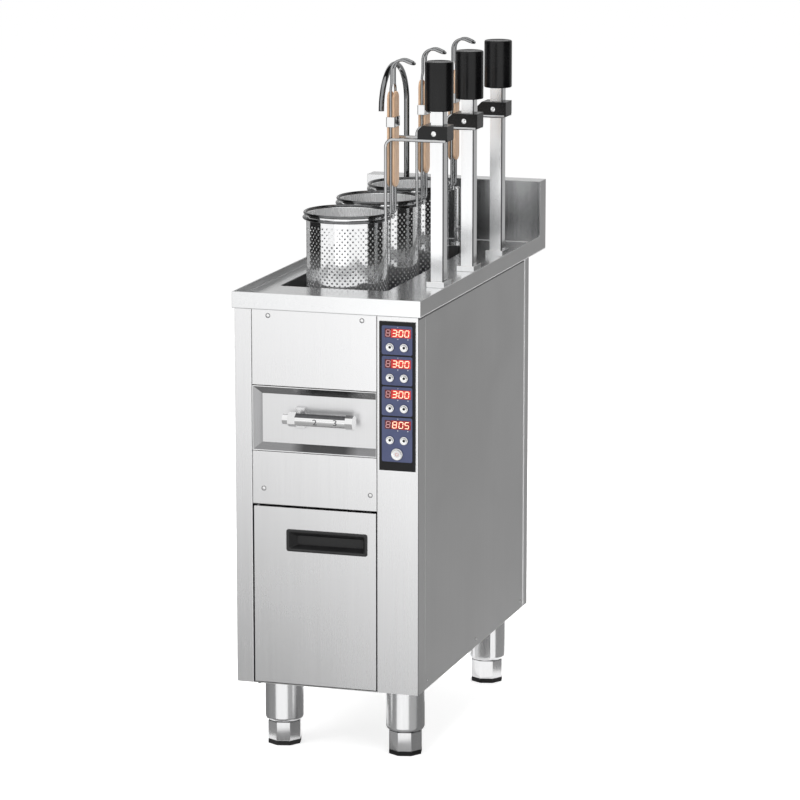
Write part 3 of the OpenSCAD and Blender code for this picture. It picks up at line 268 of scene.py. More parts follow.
glows = {  # name: darkest and lightest colour, strength, size of the clouds
    "displayRed": ((0.3, 0.011, 0.01), (0.5, 0.03, 0.022), 0.75, 120.0),
    "displayDeep": ((0.14, 0.005, 0.005), (0.3, 0.012, 0.01), 0.75, 120.0),
    "displayDark": ((0.06, 0.004, 0.006), (0.09, 0.007, 0.01), 0.4, 200.0),
    "digitLit": ((1.0, 0.56, 0.36), (1.0, 0.74, 0.55), 1.0, 300.0),
    "digitGhost": ((0.42, 0.2, 0.21), (0.5, 0.26, 0.27), 0.6, 300.0),
}
finishes = {"wood": woodFinish("wood")}
for name, (dark, light, tint, rough, grain, *rest) in steels.items():
    finishes[name] = steelFinish(name, grey(dark, tint), grey(light, tint), rough, grain, **(rest[0] if rest else {}))
for name, (dark, light, tint, *rest) in plastics.items():
    finishes[name] = plasticFinish(name, grey(dark, tint), grey(light, tint), *rest)
for name, values in glows.items():
    finishes[name] = glowFinish(name, *values)
print("finishes made:", len(finishes))


# mesh helpers

def linkPiece(name, mesh, finish=None):
    piece = bpy.data.objects.new(name, mesh)
    scene.collection.objects.link(piece)
    if finish:
        mesh.materials.clear()
        mesh.materials.append(finishes[finish])
    return piece


def evaluated(piece):  # the mesh that its modifiers give
    bpy.context.view_layer.update()
    graph = bpy.context.evaluated_depsgraph_get()
    return bpy.data.meshes.new_from_object(piece.evaluated_get(graph), depsgraph=graph)


def settle(piece):  # bake the modifiers into a plain mesh
    mesh, old = evaluated(piece), piece.data
    piece.modifiers.clear()
    piece.data = mesh
    bpy.data.meshes.remove(old)
    return piece


@contextmanager
def shaping(mesh):  # a mesh, or a new one of that name, open for editing and then written back
    mesh = bpy.data.meshes.new(mesh) if isinstance(mesh, str) else mesh
    form = bmesh.new()
    form.from_mesh(mesh)
    yield form, mesh
    form.to_mesh(mesh)
    form.free()


def shadeBy(mesh, angle):
    mesh.shade_smooth()
    mesh.set_sharp_from_angle(angle=radians(angle))
    return mesh


def modify(piece, kind, **values):
    setAll(piece.modifiers.new(kind.lower(), kind), **values)


def soften(piece, width, segments):  # broken edges
    modify(piece, "BEVEL", width=width * mm, segments=segments, limit_method="ANGLE", angle_limit=radians(32),
           miter_outer="MITER_ARC")
    piece.data.shade_smooth()
    modify(piece, "WEIGHTED_NORMAL", weight=100, keep_sharp=False)
    return settle(piece)


def place(piece, body, replaced=(), slot=None):
    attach(piece, body)
    if replaced:
        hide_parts(*replaced)


def dress(node, piece):  # the piece, or its parts, take the node's place and body
    piece = joinPiece(node + "_form", piece) if isinstance(piece, list) else piece
    place(piece, bodyOfNode[node], [node], slotOfNode[node])


def middleOf(node):  # the middle of the node's box, seen from above
    low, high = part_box(node)
    return Vector(((low[0] + high[0]) / 2, (low[1] + high[1]) / 2, 0))


def cadCopy(node):  # the node's own triangles, merged and with flat faces joined
    mesh = cadNodes[node].data.copy()
    with shaping(mesh) as (form, mesh):
        bmesh.ops.remove_doubles(form, verts=form.verts, dist=1e-6)
        bmesh.ops.dissolve_limit(form, angle_limit=radians(0.5), verts=form.verts, edges=form.edges)
    return mesh


def rollFront(mesh, width):  # round the edges of the foremost face
    with shaping(mesh) as (form, mesh):
        front = min(v.co.y for v in form.verts) + 1e-5
        rolled = [e for e in form.edges if len(e.link_faces) == 2 and all(v.co.y < front for v in e.verts)
                  and e.calc_face_angle() > 0.5]
        bmesh.ops.bevel(form, geom=rolled, offset=width * mm, segments=3, profile=0.5, affect="EDGES", clamp_overlap=True)
    return mesh


def splitFaces(mesh, cuts):  # cuts of (axis, place)
    with shaping(mesh) as (form, mesh):
        for axis, spot in cuts:
            across = Vector([1.0 if i == axis else 0.0 for i in range(3)])
            bmesh.ops.bisect_plane(form, geom=form.verts[:] + form.edges[:] + form.faces[:], plane_co=across * spot,
                                   plane_no=across, dist=1e-7)
    return mesh


def lathe(name, profile, centre, segments=64, axis="Z"):  # profile of (radius, height) in mm, closed at the axis
    with shaping(name) as (form, mesh):
        rows = []
        for radius, height in profile:
            turns = [tau * i / segments for i in range(segments if radius else 1)]
            rows.append([form.verts.new((radius * mm * cos(a), radius * mm * sin(a), height * mm)) for a in turns])
        for low, high in zip(rows, rows[1:]):
            for i in range(segments):
                j = (i + 1) % segments
                ring = [low[i % len(low)], low[j % len(low)], high[j % len(high)], high[i % len(high)]]
                corners = list(dict.fromkeys(ring))
                if len(corners) > 2:
                    form.faces.new(corners)
        if axis == "-Y":
            bmesh.ops.rotate(form, verts=form.verts, matrix=Matrix.Rotation(radians(90), 3, "X"))
        bmesh.ops.translate(form, verts=form.verts, vec=centre)
        bmesh.ops.recalc_face_normals(form, faces=form.faces)
    return shadeBy(mesh, 40)


def loftMesh(name, loops, closeEnds=True):  # loops of equal point counts, in mm
    with shaping(name) as (form, mesh):
        rows = [[form.verts.new(inMetres(p)) for p in loop] for loop in loops]
        for low, high in zip(rows, rows[1:]):
            for i in range(len(low)):
                j = (i + 1) % len(low)
                form.faces.new((low[i], low[j], high[j], high[i]))
        if closeEnds:
            form.faces.new(rows[0][::-1])
            form.faces.new(rows[-1])
        bmesh.ops.remove_doubles(form, verts=form.verts, dist=1e-7)
        bmesh.ops.recalc_face_normals(form, faces=form.faces)
    return shadeBy(mesh, 35)


def joinPiece(name, parts):  # parts of (mesh, finish) become one piece with a slot for each finish
    labels = list(dict.fromkeys(finish for mesh, finish in parts))
    with shaping(name) as (form, joined):
        for mesh, finish in parts:
            start = len(form.faces)
            form.from_mesh(mesh)
            form.faces.ensure_lookup_table()
            for face in form.faces[start:]:
                face.material_index = labels.index(finish)
    for finish in labels:
        joined.materials.append(finishes[finish])
    return linkPiece(name, joined)


def inMetres(point):
    return tuple(c * mm for c in point)


def arcPoints(centre, radii, start, end, steps):  # one radius, or one for each axis
    across, up = radii if isinstance(radii, tuple) else (radii, radii)
    turns = [radians(start + (end - start) * i / steps) for i in range(steps + 1)]
    return [(centre[0] + across * cos(a), centre[1] + up * sin(a)) for a in turns]


def roundedLoop(width, height, radius, steps=5):  # outline of a rounded rectangle
    points = []
    for corner, (sx, sz) in enumerate(((1, 1), (-1, 1), (-1, -1), (1, -1))):
        centre = (sx * (width / 2 - radius), sz * (height / 2 - radius))
        points += arcPoints(centre, radius, corner * 90, corner * 90 + 90, steps)
    return points


def roundedPath(corners, radii, steps=10):  # straight runs with round bends, from mm to metres
    points = [Vector(inMetres(p)) for p in corners]
    path = [points[0]]
    for before, corner, after, radius in zip(points, points[1:], points[2:], inMetres(radii)):
        inward, outward = (before - corner).normalized(), (after - corner).normalized()
        half = inward.angle(outward) / 2
        middle = corner + (inward + outward).normalized() * (radius / sin(half))
        first = corner + inward * (radius / tan(half))
        last = corner + outward * (radius / tan(half))
        spin = (first - middle).cross(last - middle).normalized()
        sweep = (first - middle).angle(last - middle)
        for i in range(steps + 1):
            path.append(middle + Matrix.Rotation(sweep * i / steps, 3, spin) @ (first - middle))
    return path + [points[-1]]


def circlePath(x, y, z, radius):
    return [(*p, z) for p in arcPoints((x, y), radius, 0, 357, 119)]


# Geometry Nodes: a round wire along any chain of edges

def startTree(name, inputs):
    geometry = ("Geometry", "Geometry")
    return startGroup(name, "GeometryNodeTree", [geometry] + inputs + [("Material", "Material")], geometry)


def finishTree(tree, gin, gout, last):
    real = make(tree, "GeometryNodeRealizeInstances", {0: last})
    plug(tree, gout, {0: make(tree, "GeometryNodeSetMaterial", {"Geometry": real, "Material": gin["Material"]})})
    return tree


def runTree(piece, tree, **values):
    modifier = piece.modifiers.new(tree.name, "NODES")
    modifier.node_group = tree
    for item in tree.interface.items_tree:
        key = item.name.replace(" ", "")
        if item.in_out == "INPUT" and key in values:
            modifier[item.identifier] = values[key]
    return settle(piece)


def buildWireTree():
    tree, gin, gout = startTree("wireAlongPath", [("Radius", "Float"), ("Sides", "Int")])
    curve = make(tree, "GeometryNodeMeshToCurve", {"Mesh": gin["Geometry"]})
    ring = make(tree, "GeometryNodeCurvePrimitiveCircle", {"Resolution": gin["Sides"], "Radius": gin["Radius"]})
    sweep = make(tree, "GeometryNodeCurveToMesh", {"Curve": curve, "Profile Curve": ring, "Fill Caps": True})
    return finishTree(tree, gin, gout, make(tree, "GeometryNodeSetShadeSmooth", {"Geometry": sweep}))


wireTree = buildWireTree()


def wirePart(name, chains, radius, finish, sides=20):  # chains of (points, closed), in metres
    with shaping(name) as (form, mesh):
        for points, closed in chains:
            verts = [form.verts.new(p) for p in points]
            for pair in zip(verts, verts[1:] + verts[:closed]):
                form.edges.new(pair)
    piece = runTree(linkPiece(name, mesh), wireTree, Radius=radius * mm, Sides=sides, Material=finishes[finish])
    with shaping(piece.data) as (form, mesh):
        bmesh.ops.recalc_face_normals(form, faces=form.faces)
    bpy.data.objects.remove(piece)
    return mesh, finish


# folded sheets, blocks and turned parts: the solids with their edges broken

sheetEdges = {  # node: finish, edge radius, steps, roll of the front edges
    "worktop": ("deckSteel", 0.9, 3, 0), "tank": ("tankSteel", 0.5, 2, 0), "left_stile": ("frontSteel", 0.3, 2, 1.1),
    "right_column": ("frontSteel", 0.3, 2, 1.3), "side_panels": ("sideSteel", 0.45, 2, 0),
    "back_panel": ("sideSteel", 0.45, 2, 0), "base_plate": ("sideSteel", 0.4, 2, 0),
    "upper_panel": ("frontSteel", 0.2, 2, 1.0), "recess_pan": ("panSteel", 0.35, 2, 0),
    "lower_panel": ("frontSteel", 0.2, 2, 1.0), "door_panel": ("frontSteel", 0.3, 2, 1.1),
    "control_bezel": ("bezelPlastic", 0.6, 3, 0), "timer_faces": ("timerBlue", 0.25, 2, 0),
    "control_box": ("paint", 1.5, 3, 0), "post_collars": ("postSteel", 0.8, 3, 0), "heaters": ("heaterSheath", 0.8, 2, 0),
    "lift_actuators": ("paint", 1.0, 2, 0), "drain_valve": ("valveSteel", 0.8, 2, 0), "service_ports": ("brass", 0.6, 2, 0),
    "spout_base": ("chrome", 0.8, 3, 0), "level_probe": ("chrome", 0.5, 2, 0), "drain_lever": ("leverSteel", 0.9, 3, 0),
    "leg_tubes": ("legSteel", 0.5, 2, 0),
}
for k in lifts:
    sheetEdges["lift_post_%d" % k] = ("postSteel", 2.2, 4, 0)
    sheetEdges["lift_clamp_%d" % k] = ("blackPlastic", 1.3, 3, 0)
    sheetEdges["basket_grip_%d" % k] = ("wood", 1.7, 4, 0)
lines = SimpleNamespace(hem=0.7738, gap=0.7672, fold=0.2765, splash=0.805, rim=0.785, rimBack=-0.36, doorLow=0.1308,
                        doorHigh=0.4362, barLeft=-0.0462, barRight=0.0408, barBack=-0.37, valveFront=-0.3465, valveZ=0.5915)
seams = {  # node: axis and place where a face changes its finish
    "worktop": [(2, lines.hem)], "side_panels": [(2, lines.gap)], "right_column": [(2, lines.gap)],
    "back_panel": [(1, lines.fold)],
}
extraFinish = {  # node: finishes of its other faces, with the test that picks them
    # painted shade on the recess walls
    "recess_pan": [("recessTopShade", lambda f: f.normal.z < -0.3), ("recessLowShade", lambda f: f.normal.z > 0.3),
                   ("recessSideShade", lambda f: f.normal.y > -0.95)],
    "door_panel": [("valveSteel", lambda f: not lines.doorLow < f.center.z < lines.doorHigh)],  # hinge pins in the gap
    # worktop: painted highlight on the apron's lowest strip at the sides and on the back face of the front rim, painted
    # shade on its sides, painted reflection on the splash
    "worktop": [("hemHighlight", lambda f: abs(f.normal.x) > 0.5 and f.center.z < lines.hem),
                ("sideSteel", lambda f: abs(f.normal.x) > 0.9),
                ("splashSteel", lambda f: f.normal.y < -0.9 and f.center.z > lines.splash),
                ("hemHighlight", lambda f: f.normal.y > 0.9 and f.center.y < lines.rimBack and f.center.z > lines.rim)],
    "side_panels": [("valveSteel", lambda f: f.center.z > lines.gap)],  # painted shade on the strip of panel under the apron
    # painted highlight on the side flanges in front of the fold line
    "back_panel": [("hemHighlight", lambda f: abs(f.normal.x) > 0.9 and f.center.y < lines.fold)],
    # painted dark line on the front-right roll and painted shade above the gap line under the apron; the side face
    # takes the darker side steel as shade
    "right_column": [("valveSteel", lambda f: f.normal.x > 0.3 and (f.normal.y < -0.2 or f.center.z > lines.gap)),
                     ("sideSteel", lambda f: f.normal.x > 0.97)],
    "drain_lever": [("valveSteel", lambda f: f.normal.z > 0.5 and lines.barLeft < f.center.x < lines.barRight
                     and f.center.y < lines.barBack)],  # painted dark reflection on the bar's top faces
    # painted light: the block's front faces take lighter steels than its dark body, the lower front toned like the
    # recess back wall behind it
    "drain_valve": [("legSteel", lambda f: f.center.y < lines.valveFront and f.center.z > lines.valveZ),
                    ("panSteel", lambda f: f.center.y < lines.valveFront)],
}
for node in ("upper_panel", "lower_panel", "door_panel", "left_stile", "right_column"):  # painted highlight on the rolls of the front faces
    extraFinish.setdefault(node, []).append(("hemHighlight", lambda f: -0.95 < f.normal.y < -0.2))
cornerLine = {"front": 0.0016, "side": 0.003}
for k in lifts:  # painted dark line along the posts' front-right corner, a reflection drawn into the steel
    node = "lift_post_%d" % k
    low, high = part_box(node)
    edge, start = high[0] - cornerLine["front"], low[1] + cornerLine["side"]
    seams[node] = [(0, edge), (1, start)]
    extraFinish[node] = [("valveSteel", lambda f, edge=edge, start=start: f.center.x > edge and f.center.y < start)]
for node, (finish, width, segments, roll) in sheetEdges.items():
    mesh = splitFaces(cadCopy(node), seams.get(node, ()))
    piece = soften(linkPiece(node + "_form", rollFront(mesh, roll) if roll else mesh, finish), width, segments)
    for index, (other, test) in enumerate(extraFinish.get(node, ())):
        piece.data.materials.append(finishes[other])
        for face in piece.data.polygons:
            if test(face) and not face.material_index:
                face.material_index = index + 1
    dress(node, piece)
print("sheets and blocks dressed:", len(sheetEdges))


# pierced cups

cupSettings = {
    "radius": 70.0, "bottom": 705.95, "edge": 8.0, "sheet": 1.0, "band": 889.0, "overlap": 0.3, "lipTop": 905.9,
    "lipThick": 3.6, "lipRadius": 72.2, "lipNeck": 1.2, "lipEdge": 0.6, "lipInner": 1.0, "columns": 48, "rows": 43,
    "hole": 1.9, "disc": 30.0, "discLap": 0.4,
}


def buildPerforatedTree():  # a pierced cell repeated round and up a turned outline
    tree, gin, gout = startTree("perforatedWall", [("Profile", "Object"), ("Columns", "Int"), ("Rows", "Int"),
                                                   ("Row step", "Float")])

    def op(*values):
        return calc(tree, *values)

    index, columns = make(tree, "GeometryNodeInputIndex"), gin["Columns"]
    row = op("FLOOR", op("DIVIDE", index, columns))
    across = op("ADD", op("MODULO", index, columns), op("MULTIPLY", op("MODULO", row, 2), 0.5))
    spot = make(tree, "ShaderNodeCombineXYZ", {"X": across, "Y": row})
    points = make(tree, "GeometryNodePoints", {"Count": op("MULTIPLY", columns, gin["Rows"]), "Position": spot})
    cells = make(tree, "GeometryNodeInstanceOnPoints", {"Points": points, "Instance": gin["Geometry"]})
    flat = make(tree, "GeometryNodeRealizeInstances", {"Geometry": cells})
    outline = make(tree, "GeometryNodeObjectInfo", {"Object": gin["Profile"]}, "Geometry")
    curve = make(tree, "GeometryNodeMeshToCurve", {"Mesh": outline})
    here = {axis: make(tree, "ShaderNodeSeparateXYZ", {0: make(tree, "GeometryNodeInputPosition")}, axis) for axis in "XY"}
    sample = make(tree, "GeometryNodeSampleCurve", {"Curves": curve, "Length": op("MULTIPLY", here["Y"], gin["Row step"])},
                  "Position", mode="LENGTH", use_all_curves=True)
    reach, height = (make(tree, "ShaderNodeSeparateXYZ", {0: sample}, axis) for axis in "XZ")
    angle = op("MULTIPLY", op("DIVIDE", here["X"], columns), tau)
    wrapped = make(tree, "ShaderNodeCombineXYZ", {"X": op("MULTIPLY", reach, op("COSINE", angle)),
                                                  "Y": op("MULTIPLY", reach, op("SINE", angle)), "Z": height})
    moved = make(tree, "GeometryNodeSetPosition", {"Geometry": flat, "Position": wrapped})
    merged = make(tree, "GeometryNodeMergeByDistance", {"Geometry": moved, "Distance": 0.00005})
    return finishTree(tree, gin, gout, merged)


def piercedCell(across, up, hole):  # unit cell with an eight-sided hole, sized in mm on the wall
    with shaping("pierced_cell") as (form, mesh):
        bl, mb, br, tr, mt, tl = [form.verts.new((x, y, 0)) for x, y in ((0, 0), (0.5, 0), (1, 0), (1, 1), (0.5, 1), (0, 1))]
        r = [form.verts.new((*p, 0)) for p in arcPoints((0.5, 0.5), (hole / across, hole / up), 0, 315, 7)]
        for corners in ((br, tr, r[0]), (tr, r[1], r[0]), (br, r[0], r[7]), (tr, mt, r[2], r[1]), (mt, tl, r[3], r[2]),
                        (tl, bl, r[4]), (tl, r[4], r[3]), (bl, r[5], r[4]), (bl, mb, r[6], r[5]), (mb, br, r[7], r[6])):
            form.faces.new(corners)
    return mesh


def makeCup(s):
    corner = (s.radius - s.edge, s.bottom + s.edge)
    outline = [(s.disc, s.bottom)] + arcPoints(corner, s.edge, -90, 0, 8) + [(s.radius, s.band)]
    mesh = bpy.data.meshes.new("cup_outline")
    mesh.from_pydata([(r * mm, 0, z * mm) for r, z in outline], [(i, i + 1) for i in range(len(outline) - 1)], [])
    guide = linkPiece("cup_outline", mesh)
    step = sum(dist(a, b) for a, b in zip(outline, outline[1:])) / s.rows
    wall = linkPiece("pierced_wall", piercedCell(tau * s.radius / s.columns, step, s.hole))
    runTree(wall, buildPerforatedTree(), Profile=guide, Columns=s.columns, Rows=s.rows, Rowstep=step * mm,
            Material=finishes["basketSteel"])
    with shaping(wall.data) as (form, mesh):
        middles = [(f.normal, f.calc_center_median()) for f in form.faces]
        if sum(n.x * c.x + n.y * c.y for n, c in middles) < 0:
            bmesh.ops.reverse_faces(form, faces=form.faces)
    modify(wall, "SOLIDIFY", thickness=s.sheet * mm, offset=-1)
    settle(wall)
    inner, under, foot = s.radius - s.sheet, s.lipTop - s.lipThick, s.band - s.overlap
    band = lathe("cup_band", [(inner, foot), (s.radius, foot), (s.radius, under - s.lipNeck), (s.radius + s.lipNeck, under),
                              (s.lipRadius - s.lipEdge, under), (s.lipRadius, under + s.lipEdge),
                              (s.lipRadius, s.lipTop - s.lipEdge), (s.lipRadius - s.lipEdge, s.lipTop),
                              (inner + s.lipInner, s.lipTop), (inner, s.lipTop - s.lipInner), (inner, foot)], (0, 0, 0), 96)
    disc, top = s.disc + s.discLap, s.bottom + s.sheet
    disc = lathe("cup_disc", [(0, s.bottom), (disc, s.bottom), (disc, top), (0, top)], (0, 0, 0), 48)
    with shaping("pierced_cup") as (form, cup):
        for part in (wall.data, band, disc):
            form.from_mesh(part)
    for piece in (guide, wall):
        bpy.data.objects.remove(piece)
    return shadeBy(cup, 38)


cupMesh = makeCup(SimpleNamespace(**cupSettings))
for k in lifts:
    node = "basket_cup_%d" % k
    axle = middleOf(node)
    mesh = cupMesh.copy()
    mesh.transform(Matrix.Translation(axle))
    piece = linkPiece(node + "_form", mesh, "basketSteel")
    # inner faces take the darker steel: painted shade
    mesh.materials.append(finishes["cupInside"])
    for face in mesh.polygons:
        if face.normal.x * (face.center.x - axle.x) + face.normal.y * (face.center.y - axle.y) < -0.02:
            face.material_index = 1
    dress(node, piece)
print("baskets pierced:", len(cupMesh.polygons), "faces each")


# bent wires

frameSettings = {
    "axisX": -35.0, "ringZ": 908.0, "rimRadius": 72.5, "rimWire": 2.5, "handleX": 47.0, "handleSpan": 26.0,
    "handleWire": 2.25, "rootX": 36.3, "bend": 6.0, "stepZ": 1120.0, "stepHeight": 12.93, "stepBend": 11.2, "stepTurn": 15,
    "hookHalf": 9.0, "hookZ": 1153.4, "hookBend": 18.0, "hookTurn": 112.0, "hookRun": 5.0, "clipZ": (1058.0, 1075.0),
    "clipHalf": (7.95, 16.3), "clipSheet": 1.0, "clipCorner": 3.0, "clipEdge": (0.3, 0.4),
}


def handlePath(s):  # one bent wire from the rim, round the hook and back to the rim
    half, hookHalf = s.handleSpan / 2, s.hookHalf
    dip = s.stepBend * tan(radians(s.stepTurn))
    corners = [(s.rootX, half, s.ringZ), (s.handleX, half, s.ringZ), (s.handleX, half, s.stepZ + dip),
               (s.handleX, hookHalf, s.stepZ + s.stepHeight - dip), (s.handleX, hookHalf, s.hookZ)]
    side = roundedPath(corners, [s.bend, s.stepBend, s.stepBend])[:-1]
    bend = arcPoints((s.handleX + s.hookBend, s.hookZ), s.hookBend, 180, 180 - s.hookTurn, 14)
    side += [Vector(inMetres((x, hookHalf, z))) for x, z in bend]
    heading = Vector((sin(radians(s.hookTurn)), 0, cos(radians(s.hookTurn))))
    tip = side[-1] + heading * s.hookRun * mm
    loop = [tip + heading * out * mm + Vector((0, y * mm, 0)) for y, out in arcPoints((-hookHalf, 0), hookHalf, 0, 180, 16)]
    return side + loop + [Vector((p.x, -p.y, p.z)) for p in reversed(side)]


def clipMesh(s):
    (halfX, halfY), (low, high), (edge, rise) = s.clipHalf, s.clipZ, s.clipEdge
    loops = []
    for inset, z in ((0, low + rise), (0, high - rise), (edge, high), (s.clipSheet, high), (s.clipSheet, low), (edge, low),
                     (0, low + rise)):
        outline = roundedLoop(2 * (halfX - inset), 2 * (halfY - inset), s.clipCorner - inset)
        loops.append([(s.handleX + x, y, z) for x, y in outline])
    return loftMesh("clip_band", loops, False)


s = SimpleNamespace(**frameSettings)
rimPath = circlePath(s.axisX * mm, 0, s.ringZ * mm, s.rimRadius * mm)
frameParts = [wirePart("handle_wire", [(handlePath(s), False)], s.handleWire, "wireChrome"),
              wirePart("rim_wire", [(rimPath, True)], s.rimWire, "ringChrome"), (clipMesh(s), "basketSteel")]
for k in lifts:
    parts = [(mesh.copy(), finish) for mesh, finish in frameParts]
    for mesh, finish in parts:
        mesh.transform(Matrix.Translation((0, middleOf("basket_cup_%d" % k).y, 0)))
    dress("basket_frame_%d" % k, parts)

bracketSettings = {"axisX": -35.0, "ringRadius": 74.0, "ringZ": 899.65, "ringWire": 2.5, "sink": 1.9, "uprightX": 40.26,
                   "half": 20.5, "wire": 2.7, "bend": 13.0, "runZ": 1038.0, "endX": 146.5, "clampHalf": 19.0,
                   "screwX": 124.5, "screwZ": 1050.0, "screwRadius": 4.8, "screwRim": 0.5, "screwRise": 1.8,
                   "socket": ((1.9, 2.27), (1.7, 1.4), (0, 1.4))}


def bracketParts(s, y):
    chains = []
    for side in (-1, 1):
        along = y / mm + side * s.half
        corners = [(s.uprightX, along, s.ringZ - s.sink), (s.uprightX, along, s.runZ), (s.endX, along, s.runZ)]
        chains.append((roundedPath(corners, [s.bend], 12), False))
    ring = circlePath(s.axisX * mm, y, s.ringZ * mm, s.ringRadius * mm)
    r, rim, base = s.screwRadius, s.screwRim, -(y / mm - s.clampHalf)
    dome = [(0, base - rim), (r, base - rim), (r, base + rim)]
    dome += arcPoints((0, base + rim), (r, s.screwRise), 10, 80, 7)
    dome += [(radius, base + rise) for radius, rise in s.socket]
    return [wirePart("bracket_wires", chains, s.wire, "bracketChrome"),
            wirePart("carry_ring", [(ring, True)], s.ringWire, "ringChrome"),
            (lathe("clamp_screw", dome, (s.screwX * mm, 0, s.screwZ * mm), 32, "-Y"), "basketSteel")]


for k in lifts:
    dress("lift_bracket_%d" % k, bracketParts(SimpleNamespace(**bracketSettings), middleOf("basket_cup_%d" % k).y))
print("wires bent")

spoutSettings = {"x": -74.0, "y": 312.5, "tube": 5.0, "foot": 802.0, "straight": 900.0, "archZ": 1043.0, "arch": 75.0,
                 "tip": 1042.5, "nutZ": (824.3, 832.0), "nut": 9.5, "nutBore": 4.9, "nutEdge": (0.8, 1.6),
                 "lip": ((3.6, -0.02), (4.6, -0.02), (5.0, 0.5), (5.0, 3.0)), "mouth": ((0, -0.01), (3.7, -0.01))}


def spoutParts(s):
    bend = arcPoints((s.y - s.arch, s.archZ), s.arch, 0, 180, 40)
    path = [Vector((s.x, *p)) * mm for p in [(s.y, s.foot), (s.y, s.straight)] + bend + [(s.y - 2 * s.arch, s.tip)]]
    tube = wirePart("spout_tube", [(path, False)], s.tube, "spoutChrome", 28)
    (low, high), (edge, slope) = s.nutZ, s.nutEdge
    nut = lathe("spout_nut", [(s.nutBore, low), (s.nut - edge, low), (s.nut, low + edge), (s.nut, high - slope),
                              (s.nut - slope, high), (s.nutBore, high), (s.nutBore, low)], (s.x * mm, s.y * mm, 0), 48)
    end = (s.x * mm, (s.y - 2 * s.arch) * mm, 0)
    lip, mouth = (lathe(name, [(r, s.tip + z) for r, z in outline], end, 28)
                  for name, outline in (("spout_lip", s.lip), ("spout_mouth", s.mouth)))
    return [tube, (nut, "spoutChrome"), (lip, "spoutChrome"), (mouth, "rubber")]


dress("spout", spoutParts(SimpleNamespace(**spoutSettings)))


# turned caps, feet, pull, buttons and displays

capSettings = {"radius": 24.5, "bore": 13, "low": 1088.0, "high": 1171.0, "foot": 1.2, "edge": 2.6, "dish": 0.7,
               "rim": (4.2, 5.2), "rimDrop": 0.1}


def capOutline(s):
    outline = [(s.bore, s.low), (s.radius - s.foot, s.low), (s.radius, s.low + s.foot)]
    outline += arcPoints((s.radius - s.edge, s.high - s.edge), s.edge, 0, 90, 7)
    (start, end), dish = s.rim, s.high - s.dish
    return outline + [(s.radius - start, s.high - s.rimDrop), (s.radius - end, dish), (0, dish)]


for k in lifts:
    node = "post_cap_%d" % k
    mesh = lathe("cap_turned", capOutline(SimpleNamespace(**capSettings)), middleOf(node), 72)
    dress(node, linkPiece(node + "_form", mesh, "blackPlastic"))

footSettings = {"padTop": 7.8, "edge": 0.9, "steps": 3}
for k in (1, 2, 3, 4):
    foot = linkPiece("foot_%d_form" % k, cadCopy("foot_%d" % k), "legSteel")
    foot.data.materials.append(finishes["rubber"])
    for face in foot.data.polygons:
        face.material_index = 1 if face.center.z < footSettings["padTop"] * mm else 0
    dress("foot_%d" % k, soften(foot, footSettings["edge"], footSettings["steps"]))

pullSettings = {"x": 0.5, "z": 380.5, "front": -372.5, "skin": -370.5, "floor": -356.1, "back": -354.5,
                "size": (143.0, 38.0), "pocket": (133.0, 28.0), "floorSize": (116.0, 15.0), "floorShift": (2.0, -2.0),
                "corner": 4.0}


def makePull(s):
    outer, inner, floor, shift = s.size, s.pocket, s.floorSize, s.floorShift
    stages = [  # outline, added to its size, corner, depth
        (inner, 0, 4.0, s.back), (inner, 0, 4.0, s.skin), (outer, -1, 3.6, s.skin), (outer, 0, s.corner, s.skin - 0.3),
        (outer, 0, s.corner, s.front + 0.9), (outer, -0.6, 3.7, s.front + 0.25), (outer, -2, 3.2, s.front),
        (inner, 2.4, 3.2, s.front), (inner, 0.8, 2.8, s.front + 0.4), (inner, -0.6, 2.6, s.front + 1.6),
        (floor, 3, 3.0, s.floor - 1.6), (floor, 0, 2.4, s.floor)]
    loops = []
    for size, more, corner, y in stages:
        dx, dz = shift if size is floor else (0, 0)
        loops.append([(s.x + dx + x, y, s.z + dz + z) for x, z in roundedLoop(size[0] + more, size[1] + more, corner)])
    return loftMesh("pull_moulded", loops)


dress("door_pull", linkPiece("door_pull_form", makePull(SimpleNamespace(**pullSettings)), "pullPlastic"))

buttonSettings = {
    "ring": 7.0, "dot": 2.3, "powerRing": 10.0, "powerDot": 5.6,
    "rim": ((0, 0.7), (0.25, 0.25), (0.8, 0), (1.3, 0.1), (1.9, 0.8)),  # in from the ring, back from the front
    "dish": ((1.0, 1.1), (0.1, 1.1), (0, 1.5)), "pip": ((-0.1, 1.5), (-0.1, 1.0), (-0.5, 0.75)),  # out from the dot
    "groove": ((1.5, 1.06), (2.1, 1.06), (2.1, 1.2), (1.5, 1.2), (1.5, 1.06)),
    "pipTop": 0.7, "sign": 2.6, "signWire": 0.38, "signStem": (0.8, 3.2), "signTurn": (40, 320),
}


def makeButton(s, node, radius, dot):
    low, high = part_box(node)
    x, z = (low[0] + high[0]) / 2, (low[2] + high[2]) / 2
    front, back = -low[1] / mm, -high[1] / mm
    dish, pip, groove = ([(dot + r, front - d) for r, d in outline] for outline in (s.dish, s.pip, s.groove))
    rim = [(radius - r, front - d) for r, d in s.rim]
    outlines = (("button_ring", [(0, back), (radius, back)] + rim + dish + [(0, dish[-1][1])], 48),
                ("button_pip", pip + [(0, front - s.pipTop)], 24), ("button_groove", groove, 48))
    body, pip, groove = (lathe(name, outline, (x, 0, z), count, "-Y") for name, outline, count in outlines)
    return [(body, "buttonMetal"), (groove, "valveSteel")], pip, x, z, -(front - s.pipTop) * mm


